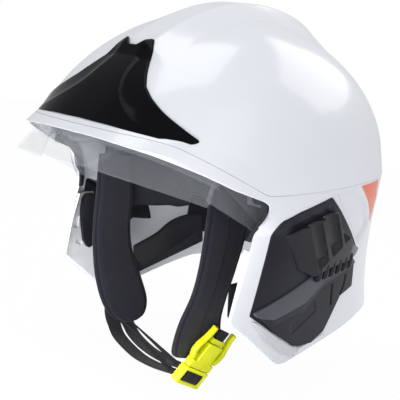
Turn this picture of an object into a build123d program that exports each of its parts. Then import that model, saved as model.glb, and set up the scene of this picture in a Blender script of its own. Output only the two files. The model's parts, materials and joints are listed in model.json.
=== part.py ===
from build123d import *
import math
import os

os.makedirs("parts", exist_ok=True)

# Jet style fire helmet. Millimetres, +X wearer's left, -Y front, +Z up.
# The origin is the middle of the head at temple height, where the head holds the helmet.

# Every level cut of the shells is an oval about this upright axis.
axis_y = 14.0
wall = 2.8
seam = 0.3
reach = 260.0
quarter_turn = 90.0

# Crown
dome_width = 114.0
dome_front = 160.0
dome_rear = 164.0
dome_base = 45.0
dome_top = 158.0
fade_shares = (2.05, 1.32, 1.83)
dome_square_shares = (2.5, 2.35)

# Waist, the outline at the lower crease and the brim
waist_width = 119.0
waist_front = 162.0
waist_rear = 165.0
waist_square_shares = (2.45, 2.25)

# Creases in the side view: lowest point, rises per mm to the front and rear, level at the brow
crease_soft = 4.0
upper_crease_y = -70.0
upper_crease_z = 45.5
upper_rise_shares = (0.45, 0.128)
upper_brow_z = 62.0
lower_crease_y = -57.0
lower_crease_z = 28.0
lower_rise_shares = (0.40, 0.110)
lower_brow_z = 55.5

# Lower wall
brim_flare = 8.0
brim_face = 7.0
cheek_front = 84.0
cheek_growth_share = 0.37
cheek_square_share = 3.4
brim_foot_z = -4.0
brim_height = 32.0
tuck = 17.0
tuck_top_z = 26.0
tuck_depth = 146.0
tuck_power_share = 1.25
neck_waist = 1.0
neck_waist_z = -10.0
neck_flare = 10.0
neck_flare_z = -92.0
neck_spread = 32.0
neck_square_share = 1.35
neck_square_depth = 125.0
skirt_z = -121.0


def vee(y, low_y, low_z, rises, level):
    """A crease: two slopes from its lowest point, softly levelled at the brow."""
    d = y - low_y
    lean = (rises[1] - rises[0]) / 2
    spread = (rises[1] + rises[0]) / 2
    z = low_z + lean * d + spread * (math.hypot(d, crease_soft) - crease_soft)
    over = z - (level - crease_soft)
    if y < low_y and over > 0:
        z = level - crease_soft * math.exp(-over / crease_soft)
    return z


def upper_crease(y):
    return vee(y, upper_crease_y, upper_crease_z, upper_rise_shares, upper_brow_z)


def lower_crease(y):
    return vee(y, lower_crease_y, lower_crease_z, lower_rise_shares, lower_brow_z)


def ease(t):
    t = min(max(t, 0.0), 1.0)
    return t * t * (3 - 2 * t)


def oval(phi, width, front, rear, squares):
    """Radius of an oval about the axis. The angle is 0 at the left and -90 at the front."""
    c = abs(math.cos(phi))
    s = math.sin(phi)
    n = squares[0] if s < 0 else squares[1]
    length = front if s < 0 else rear
    return ((c / width) ** n + (abs(s) / length) ** n) ** (-1 / n)


def dome(phi, z, width, front, rear, base, top, squares, off=0.0):
    """Radius of a dome whose ovals shrink by a power law from its base to its top."""
    rise = min(max((z - base) / (top + off - base), 0.0), 1.0)
    side, fore, aft = [math.sqrt(max(1 - rise ** p, 0.0)) for p in fade_shares]
    return oval(phi, (width + off) * side, (front + off) * fore, (rear + off) * aft, squares)


def crown_radius(phi, z, off=0.0):
    return dome(phi, z, dome_width, dome_front, dome_rear, dome_base, dome_top,
                dome_square_shares, off)


def waist_radius(phi, off=0.0):
    return oval(phi, waist_width + off, waist_front + off, waist_rear + off, waist_square_shares)


def wall_radius(phi, z, off=0.0, flare=brim_flare):
    """Radius of the lower wall: brim at the front, cheeks at the sides, flared neck behind."""
    lean = tuck * (max(tuck_top_z - z, 0.0) / tuck_depth) ** tuck_power_share
    brim = ease((z - brim_foot_z) / brim_height)
    cheek = cheek_front + cheek_growth_share * max(-z, 0.0)
    front = cheek + (waist_front + flare - cheek) * brim
    square = cheek_square_share + (waist_square_shares[0] - cheek_square_share) * brim
    deep = max(lower_crease_z - z, 0.0) / neck_square_depth
    bulge = neck_flare * math.exp(-((z - neck_flare_z) / neck_spread) ** 2)
    rear = waist_rear + bulge - neck_waist * math.exp(-((z - neck_waist_z) / neck_spread) ** 2)
    return oval(phi, waist_width - lean + off, front + off, rear + off,
                (square, waist_square_shares[1] + neck_square_share * deep ** 2))


def place(phi, radius, z):
    return Vector(radius * math.cos(phi), axis_y + radius * math.sin(phi), z)


def level_of(phi, radius_at, line):
    """Height at which a surface meets a crease, by repeated halving of the error."""
    z = dome_base
    for _ in range(30):
        z = (z + line(axis_y + radius_at(phi, z) * math.sin(phi))) / 2
    return z


def spread(first, last, count):
    return [first + (last - first) * k / (count - 1) for k in range(count)]


def skin(stations, profile):
    """Solid through upright sections about the axis. profile(phi) gives the closed
    section as runs of points: two points make a line, more make a spline."""
    wires = []
    for degrees in stations:
        runs = profile(math.radians(degrees))
        wires.append(Wire([Line(*run) if len(run) == 2 else Spline(*run) for run in runs]))
    return Solid.make_loft(wires)


def closed_runs(outer, inner):
    return [outer, [outer[-1], inner[-1]], inner[::-1], [inner[0], outer[0]]]


def both(half):
    return (half + half.mirror(Plane.YZ)).clean()


def slab_y(points, first, last):
    """Prism along Y over an outline in the front view."""
    face = Face(Wire.make_polygon([Vector(x, first, z) for x, z in points], close=True))
    return Solid.extrude(face, Vector(0, last - first, 0))


def rod_x(radius, first, last, y, z):
    disc = Face(Wire.make_circle(radius, Plane(origin=(first, y, z), z_dir=(1, 0, 0))))
    return Solid.extrude(disc, Vector(last - first, 0, 0))


def solid_of(shape):
    """The one solid of a cut, for which a list or compound may come back."""
    solids = sorted(shape.solids(), key=lambda s: s.volume)
    return solids[-1]


def save(name, shape):
    pieces = shape.solids()
    export_step(pieces[0] if len(pieces) == 1 else Compound(children=pieces), f"parts/{name}.step")
    print(name, len(pieces), round(sum(p.volume for p in pieces)), shape.is_valid)


def save_pair(name, left):
    save(name + "_left", left)
    save(name + "_right", left.mirror(Plane.YZ))


# Crown shell: dome, the sloping band under it and the raised crest
kink_turn = -86.0
even_stations = spread(-quarter_turn, quarter_turn, 23)
crown_stations = [even_stations[0], kink_turn] + even_stations[1:]
pole_share = 0.985
arc_count = 7
crease_gap = 0.7


def dome_arc(phi, radius_at, base, top, z_foot):
    """Points up a meridian, closer together where the dome turns over."""
    high = base + (top - base) * pole_share
    levels = [z_foot + (high - z_foot) * math.sin(math.pi / 2 * k / (arc_count - 1))
              for k in range(arc_count)]
    return [place(phi, radius_at(phi, z), z) for z in levels]


def crown_line(phi, off):
    """Foot at the lower crease, then the dome from the upper crease up."""
    low = level_of(phi, lambda p, z: waist_radius(p), lower_crease)
    high = level_of(phi, crown_radius, upper_crease)
    arc = dome_arc(phi, lambda p, z: crown_radius(p, z, off), dome_base, dome_top + off, high)
    return place(phi, waist_radius(phi, off), low + crease_gap / 2), arc


def crown_profile(phi):
    foot_out, outer = crown_line(phi, 0.0)
    foot_in, inner = crown_line(phi, -wall)
    return [[foot_out, outer[0]], outer, [outer[-1], inner[-1]], inner[::-1],
            [inner[0], foot_in], [foot_in, foot_out]]


crest_front = -99.0
crest_rear = 158.0
crest_peak_y = 32.0
crest_peak_z = 168.0
crest_top = 24.0
crest_foot_share = (3.1, 2.8, 2.8, 3.0, 3.7, 4.0, 3.4, 1.8)
crest_drop_front_share = 2.05
crest_drop_rear_share = 2.6
crest_front_drop = 50.5
crest_rear_drop = 63.0
crest_sink = 1.6


def crest_height(y):
    """Ridge line in the side view: a flat oval arc each way from its peak."""
    if y < crest_peak_y:
        t = (crest_peak_y - y) / (crest_peak_y - crest_front)
        return crest_peak_z - crest_front_drop * t ** crest_drop_front_share
    t = (y - crest_peak_y) / (crest_rear - crest_peak_y)
    return crest_peak_z - crest_rear_drop * t ** crest_drop_rear_share


def dome_height(x, y):
    """Height of the dome over a point of the plan, by bisection."""
    phi = math.atan2(y - axis_y, abs(x))
    far = math.hypot(x, y - axis_y)
    low, high = dome_base, dome_top
    for _ in range(40):
        mid = (low + high) / 2
        if crown_radius(phi, mid) > far:
            low = mid
        else:
            high = mid
    return low


def crest_section(y, foot_share):
    half = crest_top / 2
    foot = half * foot_share
    top = max(crest_height(y), dome_height(0.0, y) + crest_sink / 2)
    low = dome_height(foot, y) - crest_sink / 4
    deep = low - crest_sink
    shoulder = (low + (top - low) * 0.45)
    neck = half + (foot - half) * 0.40
    points = [(-foot, low), (-neck, shoulder), (-half, top), (half, top), (neck, shoulder),
              (foot, low), (foot, deep), (-foot, deep)]
    corners = [Vector(x, y, z) for x, z in points]
    return Wire([Spline(*corners[0:3]), Line(corners[2], corners[3]), Spline(*corners[3:6]),
                 Line(corners[5], corners[6]), Line(corners[6], corners[7]),
                 Line(corners[7], corners[0])])


def plain_dome(off, low, high_share):
    """Solid dome through level ovals, used to trim what lies on or under the crown."""
    levels = [low] + [dome_base + (dome_top + off - dome_base) * t * high_share
                      for t in (0.15, 0.33, 0.5, 0.65, 0.78, 0.88, 0.95, 0.985, 1.0)]
    wires = []
    for z in levels:
        angles = spread(0.0, 2 * math.pi, 33)[:-1]
        points = []
        for a in angles:
            phi = math.asin(math.sin(a))
            r = crown_radius(phi, z, off)
            points.append(Vector(r * math.cos(a), axis_y + r * math.sin(a), z))
        wires.append(Wire([Spline(*points, periodic=True)]))
    return Solid.make_loft(wires)


plug_width = 13.0
plug_length = 17.0
plug_drop = 0.7


def make_crown():
    crown = both(skin(crown_stations, crown_profile))
    disc = Face(Wire.make_ellipse(plug_length, plug_width,
                                  Plane(origin=(0, axis_y, dome_top - wall + seam),
                                        x_dir=(0, 1, 0), z_dir=(0, 0, 1))))
    plug = Solid.extrude(disc, Vector(0, 0, wall - seam - plug_drop))
    count = len(crest_foot_share)
    wires = [crest_section(y, s) for y, s in
             zip(spread(crest_front, crest_rear, count), crest_foot_share)]
    crest = Solid.make_loft(wires)
    crest = crest - plain_dome(-wall / 2, dome_base - wall, 0.997)
    crown = crown + plug + solid_of(crest)
    return crown


# Front plate, a black gloss shield over the brow
plate_thick = 3.0
plate_half_width = 85.0
plate_low_z = 54.0
plate_high_z = 122.0
plate_shares = ((0.0, 0.06), (0.35, 0.05), (0.8, 0.01), (0.95, 0.0), (1.0, 0.06), (0.87, 0.16),
                (0.70, 0.28), (0.56, 0.39), (0.44, 0.50), (0.36, 0.62), (0.28, 0.75),
                (0.23, 0.88), (0.155, 0.99), (0.05, 0.90), (0.0, 0.90))


def front_outline(grow=0.0):
    tall = plate_high_z - plate_low_z
    right = [(x * (plate_half_width + grow) + (grow if x else 0.0), plate_low_z + z * tall
              + grow * (2 * z - 1)) for x, z in plate_shares]
    left = [(-x, z) for x, z in right[::-1] if x > 0]
    return right + left


def plate_profile(inner_off, outer_off):
    def profile(phi):
        foot_out, outer = crown_line(phi, outer_off)
        foot_in, inner = crown_line(phi, inner_off)
        return [[foot_out, outer[0]], outer, [outer[-1], inner[-1]], inner[::-1],
                [inner[0], foot_in], [foot_in, foot_out]]
    return profile


def over_crown(inner_off, outer_off):
    return both(skin(crown_stations, plate_profile(inner_off, outer_off)))


plate_gap_drop = 20.0
crown_shell = make_crown()
plate_room = slab_y(front_outline(seam), -reach, -axis_y)
room = over_crown(seam / 6, plate_gap_drop) & plate_room
crown_shell = solid_of(crown_shell - room)
save("crown_shell", crown_shell)
plate_layer = over_crown(seam, seam + plate_thick)
save("front_plate", solid_of(plate_layer & slab_y(front_outline(), -reach, -axis_y)))


# Lower shell: brim face, pillars beside the face, cheeks and neck
wall_stations = crown_stations
wall_levels = 9
side_stations = tuple(wall_stations[5:22])


def wall_line(phi, off, low_z=skirt_z):
    """Points down the wall from just under the lower crease."""
    high = level_of(phi, lambda p, z: waist_radius(p), lower_crease) - crease_gap / 2
    levels = [high, high - brim_face] + spread(high - brim_face, low_z, wall_levels)[1:]
    line = []
    for z in levels:
        flare = brim_flare * min((high - z) / brim_face, 1.0)
        line.append(place(phi, wall_radius(phi, z, off, flare), z))
    return line


def wall_layer(inner_off, outer_off, stations=side_stations):
    def profile(phi):
        return closed_runs(wall_line(phi, outer_off), wall_line(phi, inner_off))
    return skin(stations, profile)


def profile_face(points, x, rounds=(), grow=0.0):
    """Outline in the side view as a face at x, corners rounded, then grown all round."""
    face = Face(Wire.make_polygon([Vector(x, y, z) for y, z in points], close=True))
    for index, radius in rounds:
        corner = Vector(x, *points[index])
        near = sorted(face.vertices(), key=lambda v: (v.center() - corner).length)[0]
        face = face.fillet_2d(radius, [near])
    if grow:
        face = Face(face.outer_wire().offset_2d(grow))
    return face


def side_prism(points, rounds=(), grow=0.0, first=0.0, last=reach):
    return Solid.extrude(profile_face(points, first, rounds, grow), Vector(last - first, 0, 0))


# Face opening and rim in the side view
brim_edge = ((-155.0, 49.5), (-136.0, 45.0), (-109.0, 37.0), (-85.0, 29.0))
temple_corner = (-47.0, 20.0)
pillar_foot = (-60.0, -70.0)
rim_points = ((9.0, -112.0), (48.0, -100.0), (118.0, -80.0), (185.0, -72.0))
temple_round = 17.0
foot_round = 4.0
chin_round = 16.0
opening_outline = ((-reach, brim_edge[0][1]),) + brim_edge + (temple_corner, pillar_foot) \
    + rim_points + ((reach, rim_points[-1][1]), (reach, -reach), (-reach, -reach))
opening_rounds = ((5, temple_round), (6, foot_round), (7, chin_round))

# Side modules: recess, base panel, lamp rail, ledge and lower cover
cover_outline = ((-40.0, 9.0), (-23.0, 17.0), (13.0, 29.0), (29.0, 19.0), (57.0, 0.0),
                 (77.0, -15.0), (70.0, -25.0), (80.0, -48.0), (62.0, -55.0), (52.0, -86.0),
                 (38.0, -94.0), (19.0, -95.0), (-16.0, -79.0), (-45.0, -64.0), (-43.0, -28.0))
cover_rounds = ((0, 8.0), (3, 5.0))
recess_depth = 1.5
cover_depth = 1.2
cover_rise = 1.2
rail_outline = ((-30.0, -2.0), (-22.0, 5.0), (16.0, 19.0), (55.0, -9.0), (74.0, -14.0),
                (68.0, -19.6), (24.0, -27.4), (10.0, -33.5), (-8.0, -28.0))
rail_rise = 8.0
ledge_outline = ((-43.0, -61.5), (-8.0, -46.0), (10.0, -37.0), (23.0, -30.0), (68.0, -22.0),
                 (67.0, -25.5), (27.0, -38.0), (10.0, -55.0), (-22.0, -66.0))
ledge_rise = 6.5
module_outline = ((-44.0, -61.5), (-8.0, -45.0), (10.0, -36.0), (23.0, -29.0), (69.0, -21.0),
                  (79.0, -47.0), (61.5, -54.0), (51.5, -85.0), (38.0, -93.4), (19.2, -94.4),
                  (-16.0, -78.4))
module_rise = 4.2
lens_outline = ((-45.5, -65.4), (-22.0, -85.0), (3.0, -98.5), (22.0, -104.5), (24.0, -96.6),
                (19.0, -96.0), (-16.5, -80.0))
lens_rise = 2.6
tab_outline = ((27.0, -97.2), (59.0, -88.6), (60.5, -93.0), (27.0, -102.4))
tab_rise = 2.0
scoop_outline = ((20.0, 31.5), (38.0, 36.0), (53.0, 37.5), (76.0, 23.0), (99.0, 5.0),
                 (78.5, -11.0), (60.0, 2.5), (33.0, 21.0))
scoop_rounds = ((6, 6.0),)
scoop_depth = 1.8
panel_outline = ((57.0, 38.0), (99.0, 42.3), (106.0, 26.0), (102.5, 5.5), (79.5, 24.5))
panel_depth = 1.4
panel_rise = 0.3


def lower_shell_half():
    half = wall_layer(-wall, 0.0, wall_stations)
    half = half - side_prism(opening_outline, opening_rounds)
    half = half - (layer_recess & side_prism(cover_outline, cover_rounds, seam))
    half = half - (layer_scoop & side_prism(scoop_outline, scoop_rounds))
    half = half - (layer_scoop & side_prism(panel_outline, (), seam))
    return solid_of(half)


layer_recess = wall_layer(-recess_depth, rail_rise)
layer_scoop = wall_layer(-scoop_depth, rail_rise)

# Pivots of both visors, on one axis across the helmet
pivot_y = 10.0
pivot_z = -10.0
pivot_radius = 4.0
running_fit = 0.08
boss_radius = 12.0
boss_face_x = 94.8
boss_root_x = 113.0
pivot_end_x = 106.0
pivot_head_radius = 7.5
pivot_head_x = 87.3
pivot_shoulder_x = 88.6


def make_lower_shell():
    half = lower_shell_half()
    boss = rod_x(boss_radius, boss_face_x, boss_root_x, pivot_y, pivot_z)
    boss = boss - rod_x(pivot_radius + running_fit, boss_face_x, pivot_end_x + seam,
                        pivot_y, pivot_z)
    return both(half + boss)


save("lower_shell", solid_of(make_lower_shell()))

cover_layer = wall_layer(-cover_depth, cover_rise)
save_pair("side_cover", solid_of(cover_layer & side_prism(cover_outline, cover_rounds)))


# Lamp rail: a block with three hollow flutes and a comb along its lower edge
flute_radius = 7.0
flute_sink = 2.5
flute_run = 40.0
flute_points = ((-12.0, 12.0), (5.0, 20.0), (24.0, 20.0))
flute_lean = (28.0, -36.0)
tooth_radius = 2.0
tooth_count = 6
tooth_first = (14.0, -30.0)
tooth_last = (56.0, -21.0)


def wall_point(y, z, off):
    """Point of the outer wall at a place in the side view."""
    phi = 0.0
    for _ in range(30):
        phi = math.asin(max(min((y - axis_y) / wall_radius(phi, z), 1.0), -1.0))
    return place(phi, wall_radius(phi, z, off), z)


def rod_between(a, b, radius):
    along = b - a
    disc = Face(Wire.make_circle(radius, Plane(origin=a, z_dir=along.normalized())))
    return Solid.extrude(disc, along)


def make_rail():
    block = wall_layer(cover_rise + seam, rail_rise) & side_prism(rail_outline, ((2, 4.0),))
    block = solid_of(block)
    for y, z in flute_points:
        a = wall_point(y, z, rail_rise + flute_radius - flute_sink)
        b = wall_point(y + flute_lean[0], z + flute_lean[1], rail_rise + flute_radius - flute_sink)
        block = solid_of(block - rod_between(a, b, flute_radius))
    for y, z in zip(spread(tooth_first[0], tooth_last[0], tooth_count),
                    spread(tooth_first[1], tooth_last[1], tooth_count)):
        a = wall_point(y, z + tooth_radius * 2, rail_rise)
        b = wall_point(y, z - tooth_radius * 3, rail_rise - tooth_radius)
        block = solid_of(block - rod_between(a, b, tooth_radius))
    return solid_of(block)


save_pair("lamp_rail", make_rail())

# Lower cover of the side module with its ledge and two grooves
groove_width = 1.2
groove_depth = 1.0
groove_lines = (((42.0, -45.0), (48.0, -60.0)), ((60.0, -37.0), (61.0, -51.0)))


def make_module():
    body = wall_layer(cover_rise + seam, module_rise) & side_prism(module_outline)
    ledge = wall_layer(module_rise - groove_depth, ledge_rise) & side_prism(ledge_outline)
    body = solid_of(solid_of(body) + solid_of(ledge))
    groove_layer = wall_layer(module_rise - groove_depth, module_rise + groove_depth)
    for (ay, az), (by, bz) in groove_lines:
        strip = ((ay, az), (ay + groove_width, az), (by + groove_width, bz), (by, bz))
        body = solid_of(body - solid_of(groove_layer & side_prism(strip)))
    return body


save_pair("side_module", make_module())
lens_layer = wall_layer(seam, lens_rise)
save_pair("lamp_lens", solid_of(lens_layer & side_prism(lens_outline)))
tab_layer = wall_layer(seam, tab_rise)
save_pair("rim_tab", solid_of(tab_layer & side_prism(tab_outline)))
panel_layer = wall_layer(-panel_depth, panel_rise)
save_pair("reflective_panel", solid_of(panel_layer & side_prism(panel_outline)))

# Black seal inside the edge of the face opening, round the temple corner
gasket_width = 8.0
gasket_thick = 2.0
gasket_window = ((-79.4, 60.0), (-30.0, 60.0), (-30.0, -9.4), (-79.4, -9.4))
gasket_layer = wall_layer(-wall - seam - gasket_thick, -wall - seam)
gasket = gasket_layer - side_prism(opening_outline, opening_rounds, seam)
gasket = gasket & side_prism(opening_outline, opening_rounds, gasket_width)
save_pair("opening_gasket", solid_of(gasket & side_prism(gasket_window)))

# Cheek liner: white plate inside the pillar with a window and a latch slot
liner_thick = 2.0
cheek_outline = ((-51.0, -16.0), (-2.0, -16.0), (-2.0, -100.0), (4.0, -106.0), (-8.0, -100.0),
                 (-56.0, -70.0))
cheek_window = ((-48.0, -38.0), (-41.0, -38.0), (-41.0, -48.0), (-48.0, -48.0))
latch_slot = ((-42.0, -59.0), (-33.0, -62.0), (-34.0, -65.0), (-43.0, -62.0))
cheek_layer = wall_layer(-wall - seam - liner_thick, -wall - seam)
cheek = solid_of(cheek_layer & side_prism(cheek_outline))
cheek = cheek - side_prism(cheek_window) - side_prism(latch_slot)
save_pair("cheek_liner", solid_of(cheek))

# Oval black bracket on the cheek liner, with its pivot cap and screw
bracket_thick = 3.0
bracket_outline = ((-44.0, -20.0), (-38.0, -17.5), (-24.0, -17.5), (-18.0, -30.0), (-16.0, -50.0),
                   (-20.0, -64.0), (-27.0, -68.0), (-34.0, -60.0), (-42.0, -36.0))
bracket_layer = wall_layer(-wall - 2 * seam - liner_thick - bracket_thick,
                           -wall - 2 * seam - liner_thick)
bracket = bracket_layer & side_prism(bracket_outline, ((0, 4.0), (2, 5.0), (5, 4.0), (6, 4.0)))
save_pair("shield_bracket", solid_of(bracket))

# Face shield and ocular visor: turned about the pivot axis, with flat arms to the pivots
shield_thick = 2.2
shield_radius = 156.3
shield_drop = 46.5
shield_drop_x = 96.0
shield_power_share = 3.3
shield_edge_x = 94.1
shield_arm_x = 92.1
shield_flare = 25.5
shield_flare_x = 92.0
shield_flare_share = 2.2
shield_lip = 13.0
shield_top = 65.0
shield_hub = 12.0
shield_arm_low = 15.0
shield_arm_high = 58.0
visor_thick = 1.8
visor_radius = 147.8
visor_drop = 35.0
visor_drop_x = 85.0
visor_edge_x = 90.6
visor_arm_x = 88.9
visor_lip = 21.0
visor_top = 61.0
visor_hub = 11.0
visor_arm_low = 24.0
visor_arm_high = 55.0
flare_end = 33.0
flare_fade_share = 1.7
shield_sections = 11
visor_sections = 6
turn_points = 15


def turn_place(x, radius, degrees):
    """Point at a radius about the pivot axis. The angle is 0 ahead and 90 overhead."""
    t = math.radians(degrees)
    return Vector(x, pivot_y - radius * math.cos(t), pivot_z + radius * math.sin(t))


def shield_reach(x, flare):
    drop = shield_drop * (abs(x) / shield_drop_x) ** shield_power_share
    lift = shield_flare * max(1 - (abs(x) / shield_flare_x) ** shield_flare_share, 0.0)
    return shield_radius - drop + lift * flare


def lip_flare(degrees):
    """How far the lip still flares out at an angle: all at the lip, none past flare_end."""
    return max((flare_end - degrees) / (flare_end - shield_lip), 0.0) ** flare_fade_share


def visor_reach(x, flare):
    return visor_radius - visor_drop * (abs(x) / visor_drop_x) ** shield_power_share


def turned_shell(reach_at, thick, edge_x, steps):
    """Loft through sections at each angle about the pivot axis."""
    wires = []
    inner_x = edge_x - thick
    for degrees, flare in steps:
        xs = [math.sin(t) for t in spread(-math.pi / 2, math.pi / 2, turn_points)]
        outer = [turn_place(edge_x * x, reach_at(edge_x * x, flare), degrees) for x in xs]
        inner = [turn_place(inner_x * x, reach_at(inner_x * x, flare) - thick, degrees)
                 for x in xs]
        runs = closed_runs(outer, inner)
        wires.append(Wire([Line(*run) if len(run) == 2 else Spline(*run) for run in runs]))
    return Solid.make_loft(wires)


def turn_arm(hub, arm_x, edge_x, reach_at, low, high, overlap):
    """Flat arm: a hub disc and a wedge out to the edge of the turned shell."""
    far = reach_at(edge_x, 0.0) + overlap
    a = turn_place(arm_x, far, low)
    b = turn_place(arm_x, far, high)
    middle = turn_place(arm_x, far, (low + high) / 2)
    hub_low = turn_place(arm_x, hub - seam, low - quarter_turn / 2)
    hub_high = turn_place(arm_x, hub - seam, high + quarter_turn / 2)
    edge = Wire([Line(hub_low, a), ThreePointArc(a, middle, b), Line(b, hub_high),
                 Line(hub_high, hub_low)])
    wedge = Solid.extrude(Face(edge), Vector(edge_x - arm_x, 0, 0))
    arm = wedge + rod_x(hub, arm_x, edge_x, pivot_y, pivot_z)
    return solid_of(arm - rod_x(pivot_radius + running_fit, arm_x - seam, edge_x + seam,
                                pivot_y, pivot_z))


def make_turned(reach_at, thick, edge_x, arm_x, steps, hub, low, high):
    body = turned_shell(reach_at, thick, edge_x, steps)
    arm = turn_arm(hub, arm_x, edge_x, reach_at, low, high, thick)
    body = solid_of(body + arm)
    return solid_of(body + arm.mirror(Plane.YZ))


shield_steps = [(a, lip_flare(a)) for a in spread(shield_lip, shield_top, shield_sections)]
save("face_shield", make_turned(shield_reach, shield_thick, shield_edge_x, shield_arm_x,
                                shield_steps, shield_hub, shield_arm_low, shield_arm_high))
visor_steps = [(a, 0.0) for a in spread(visor_lip, visor_top, visor_sections)]
save("ocular_visor", make_turned(visor_reach, visor_thick, visor_edge_x, visor_arm_x,
                                 visor_steps, visor_hub, visor_arm_low, visor_arm_high))
pivot = rod_x(pivot_radius, pivot_shoulder_x, pivot_end_x, pivot_y, pivot_z) \
    + rod_x(pivot_head_radius, pivot_head_x, pivot_shoulder_x, pivot_y, pivot_z)
save_pair("visor_pivot", solid_of(pivot))

# Inner shell under the visors, and the impact liner inside it
pad_squares_shares = (2.4, 2.3)
inner_thick = 2.3
inner_width = 86.8
inner_front = 124.0
inner_rear = 140.0
inner_base = 30.0
inner_top = 140.0
cavity_width = 80.0
cavity_front = 106.0
cavity_rear = 106.0
cavity_base = 30.0
cavity_top = 122.0
brow_z = 42.0
side_low_z = -24.0
nape_low_z = 2.0
liner_inset = 4.0
brow_turn = -42.0
side_turn = -8.0
rear_turn = 30.0
shell_stations = spread(-quarter_turn, quarter_turn, 21)


def low_edge(phi):
    """Lower edge of the linings: high over the brow, low at the temples, high at the nape."""
    degrees = math.degrees(phi)
    if degrees < rear_turn:
        t = ease((degrees - brow_turn) / (side_turn - brow_turn))
        return brow_z + (side_low_z - brow_z) * t
    t = ease((degrees - rear_turn) / (quarter_turn - rear_turn))
    return side_low_z + (nape_low_z - side_low_z) * t


def inner_radius(phi, z, off=0.0):
    return dome(phi, z, inner_width, inner_front, inner_rear, inner_base, inner_top,
                pad_squares_shares, off)


def cavity_radius(phi, z, off=0.0):
    return dome(phi, z, cavity_width, cavity_front, cavity_rear, cavity_base, cavity_top,
                pad_squares_shares, off)


def full_arc(phi, radius_at, base, top, low):
    """Straight skirt from the lower edge, then the dome arc."""
    start = max(low, base)
    skirt = [place(phi, radius_at(phi, z), z) for z in spread(low, start, 5)[:-1]] \
        if low < base - liner_inset else []
    return skirt + dome_arc(phi, radius_at, base, top, start)


def dome_piece(stations, outer_at, inner_at, outer_dome, inner_dome, low_at):
    def profile(phi):
        outer = full_arc(phi, outer_at, *outer_dome, low_at(phi))
        inner = full_arc(phi, inner_at, *inner_dome, low_at(phi))
        return closed_runs(outer, inner)
    return both(skin(stations, profile))


def cap_disc(top, thick):
    disc = Face(Wire.make_ellipse(plug_length, plug_width,
                                  Plane(origin=(0, axis_y, top - thick), x_dir=(0, 1, 0),
                                        z_dir=(0, 0, 1))))
    return Solid.extrude(disc, Vector(0, 0, thick))


pole_drop = 1.4
inner_shell = dome_piece(shell_stations, inner_radius, lambda p, z: inner_radius(p, z, -inner_thick),
                         (inner_base, inner_top), (inner_base, inner_top - inner_thick), low_edge)
inner_shell = inner_shell + cap_disc(inner_top - pole_drop, inner_thick)
save("inner_shell", solid_of(inner_shell))
liner_gap = 1.0
liner_skin = inner_thick + liner_gap
liner_top = inner_top - liner_skin - pole_drop - seam
impact_liner = dome_piece(shell_stations, lambda p, z: inner_radius(p, z, -liner_skin),
                          cavity_radius, (inner_base, inner_top - liner_skin),
                          (cavity_base, cavity_top), lambda p: low_edge(p) + liner_inset)
impact_liner = impact_liner + cap_disc(liner_top - seam, liner_top - cavity_top)
save("impact_liner", solid_of(impact_liner))

# Headband, brow pad and crown pad inside the liner
band_gap = 1.8
band_thick = 2.5
band_low_z = 48.0
band_high_z = 74.0
pad_thick = 6.0
pad_grow = 3.0


def ring(radius_at, outer_off, inner_off, low, high, stations):
    def profile(phi):
        outer = [place(phi, radius_at(phi, z, outer_off), z) for z in spread(low, high, 4)]
        inner = [place(phi, radius_at(phi, z, inner_off), z) for z in spread(low, high, 4)]
        return closed_runs(outer, inner)
    return skin(stations, profile)


band = ring(cavity_radius, -band_gap, -band_gap - band_thick, band_low_z, band_high_z,
            shell_stations)
save("headband", both(band))
pad_off = -band_gap - band_thick - seam
pad_stations = spread(-quarter_turn, -40.0, 8)
save("brow_pad", both(ring(cavity_radius, pad_off, pad_off - pad_thick, band_low_z - pad_grow,
                           band_high_z + pad_grow, pad_stations)))
crown_pad_z = 104.0
crown_top = cavity_top - band_gap
crown_pad = dome_piece(shell_stations, lambda p, z: cavity_radius(p, z, -band_gap),
                       lambda p, z: cavity_radius(p, z, -band_gap - pad_thick),
                       (cavity_base, crown_top), (cavity_base, crown_top - pad_thick),
                       lambda p: crown_pad_z)
crown_pad = crown_pad + cap_disc(crown_top - pole_drop, pad_thick - pole_drop / 2)
save("crown_pad", solid_of(crown_pad))

# Nape cradle with the ratchet that draws the two racks together
cradle_width = 78.0
cradle_rear = 98.0
cradle_thick = 3.0
cradle_low_z = -44.0
cradle_high_z = -12.0
cradle_turn = 36.0
nape_pad_thick = 7.0
nape_pad_inset = 12.0
housing_half = 30.0
housing_y = 109.5
housing_depth = 18.0
housing_z = -28.0
housing_half_z = 14.0
housing_wall = 2.5
pinion_radius = 5.0
tooth_height = 1.2
pinion_teeth = 10
rack_depth = 4.0
rack_length = 70.0
rack_start = -14.0
rack_teeth = 8
rack_tooth_share = 0.8
rack_foot_share = 0.28
rack_tip_share = 0.12
knob_radius = 17.0
knob_depth = 12.0
knob_lobes = 12
shaft_radius = 3.0


def cradle_radius(phi, z, off=0.0):
    return oval(phi, cradle_width + off, cradle_rear + off, cradle_rear + off, pad_squares_shares)


cradle_stations = spread(cradle_turn, quarter_turn, 7)
cradle = both(ring(cradle_radius, 0.0, -cradle_thick, cradle_low_z, cradle_high_z,
                   cradle_stations))
housing = Solid.make_box(2 * housing_half, housing_depth, 2 * housing_half_z,
                         Plane((-housing_half, housing_y, housing_z - housing_half_z)))
hollow = Solid.make_box(2 * housing_half + 2 * seam, housing_depth - 2 * housing_wall,
                        2 * housing_half_z - 2 * housing_wall,
                        Plane((-housing_half - seam, housing_y + housing_wall,
                               housing_z - housing_half_z + housing_wall)))
housing_end_y = housing_y + housing_depth


def rod_y(radius, first, last, x, z):
    disc = Face(Wire.make_circle(radius, Plane(origin=(x, first, z), z_dir=(0, 1, 0))))
    return Solid.extrude(disc, Vector(0, last - first, 0))


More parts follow.
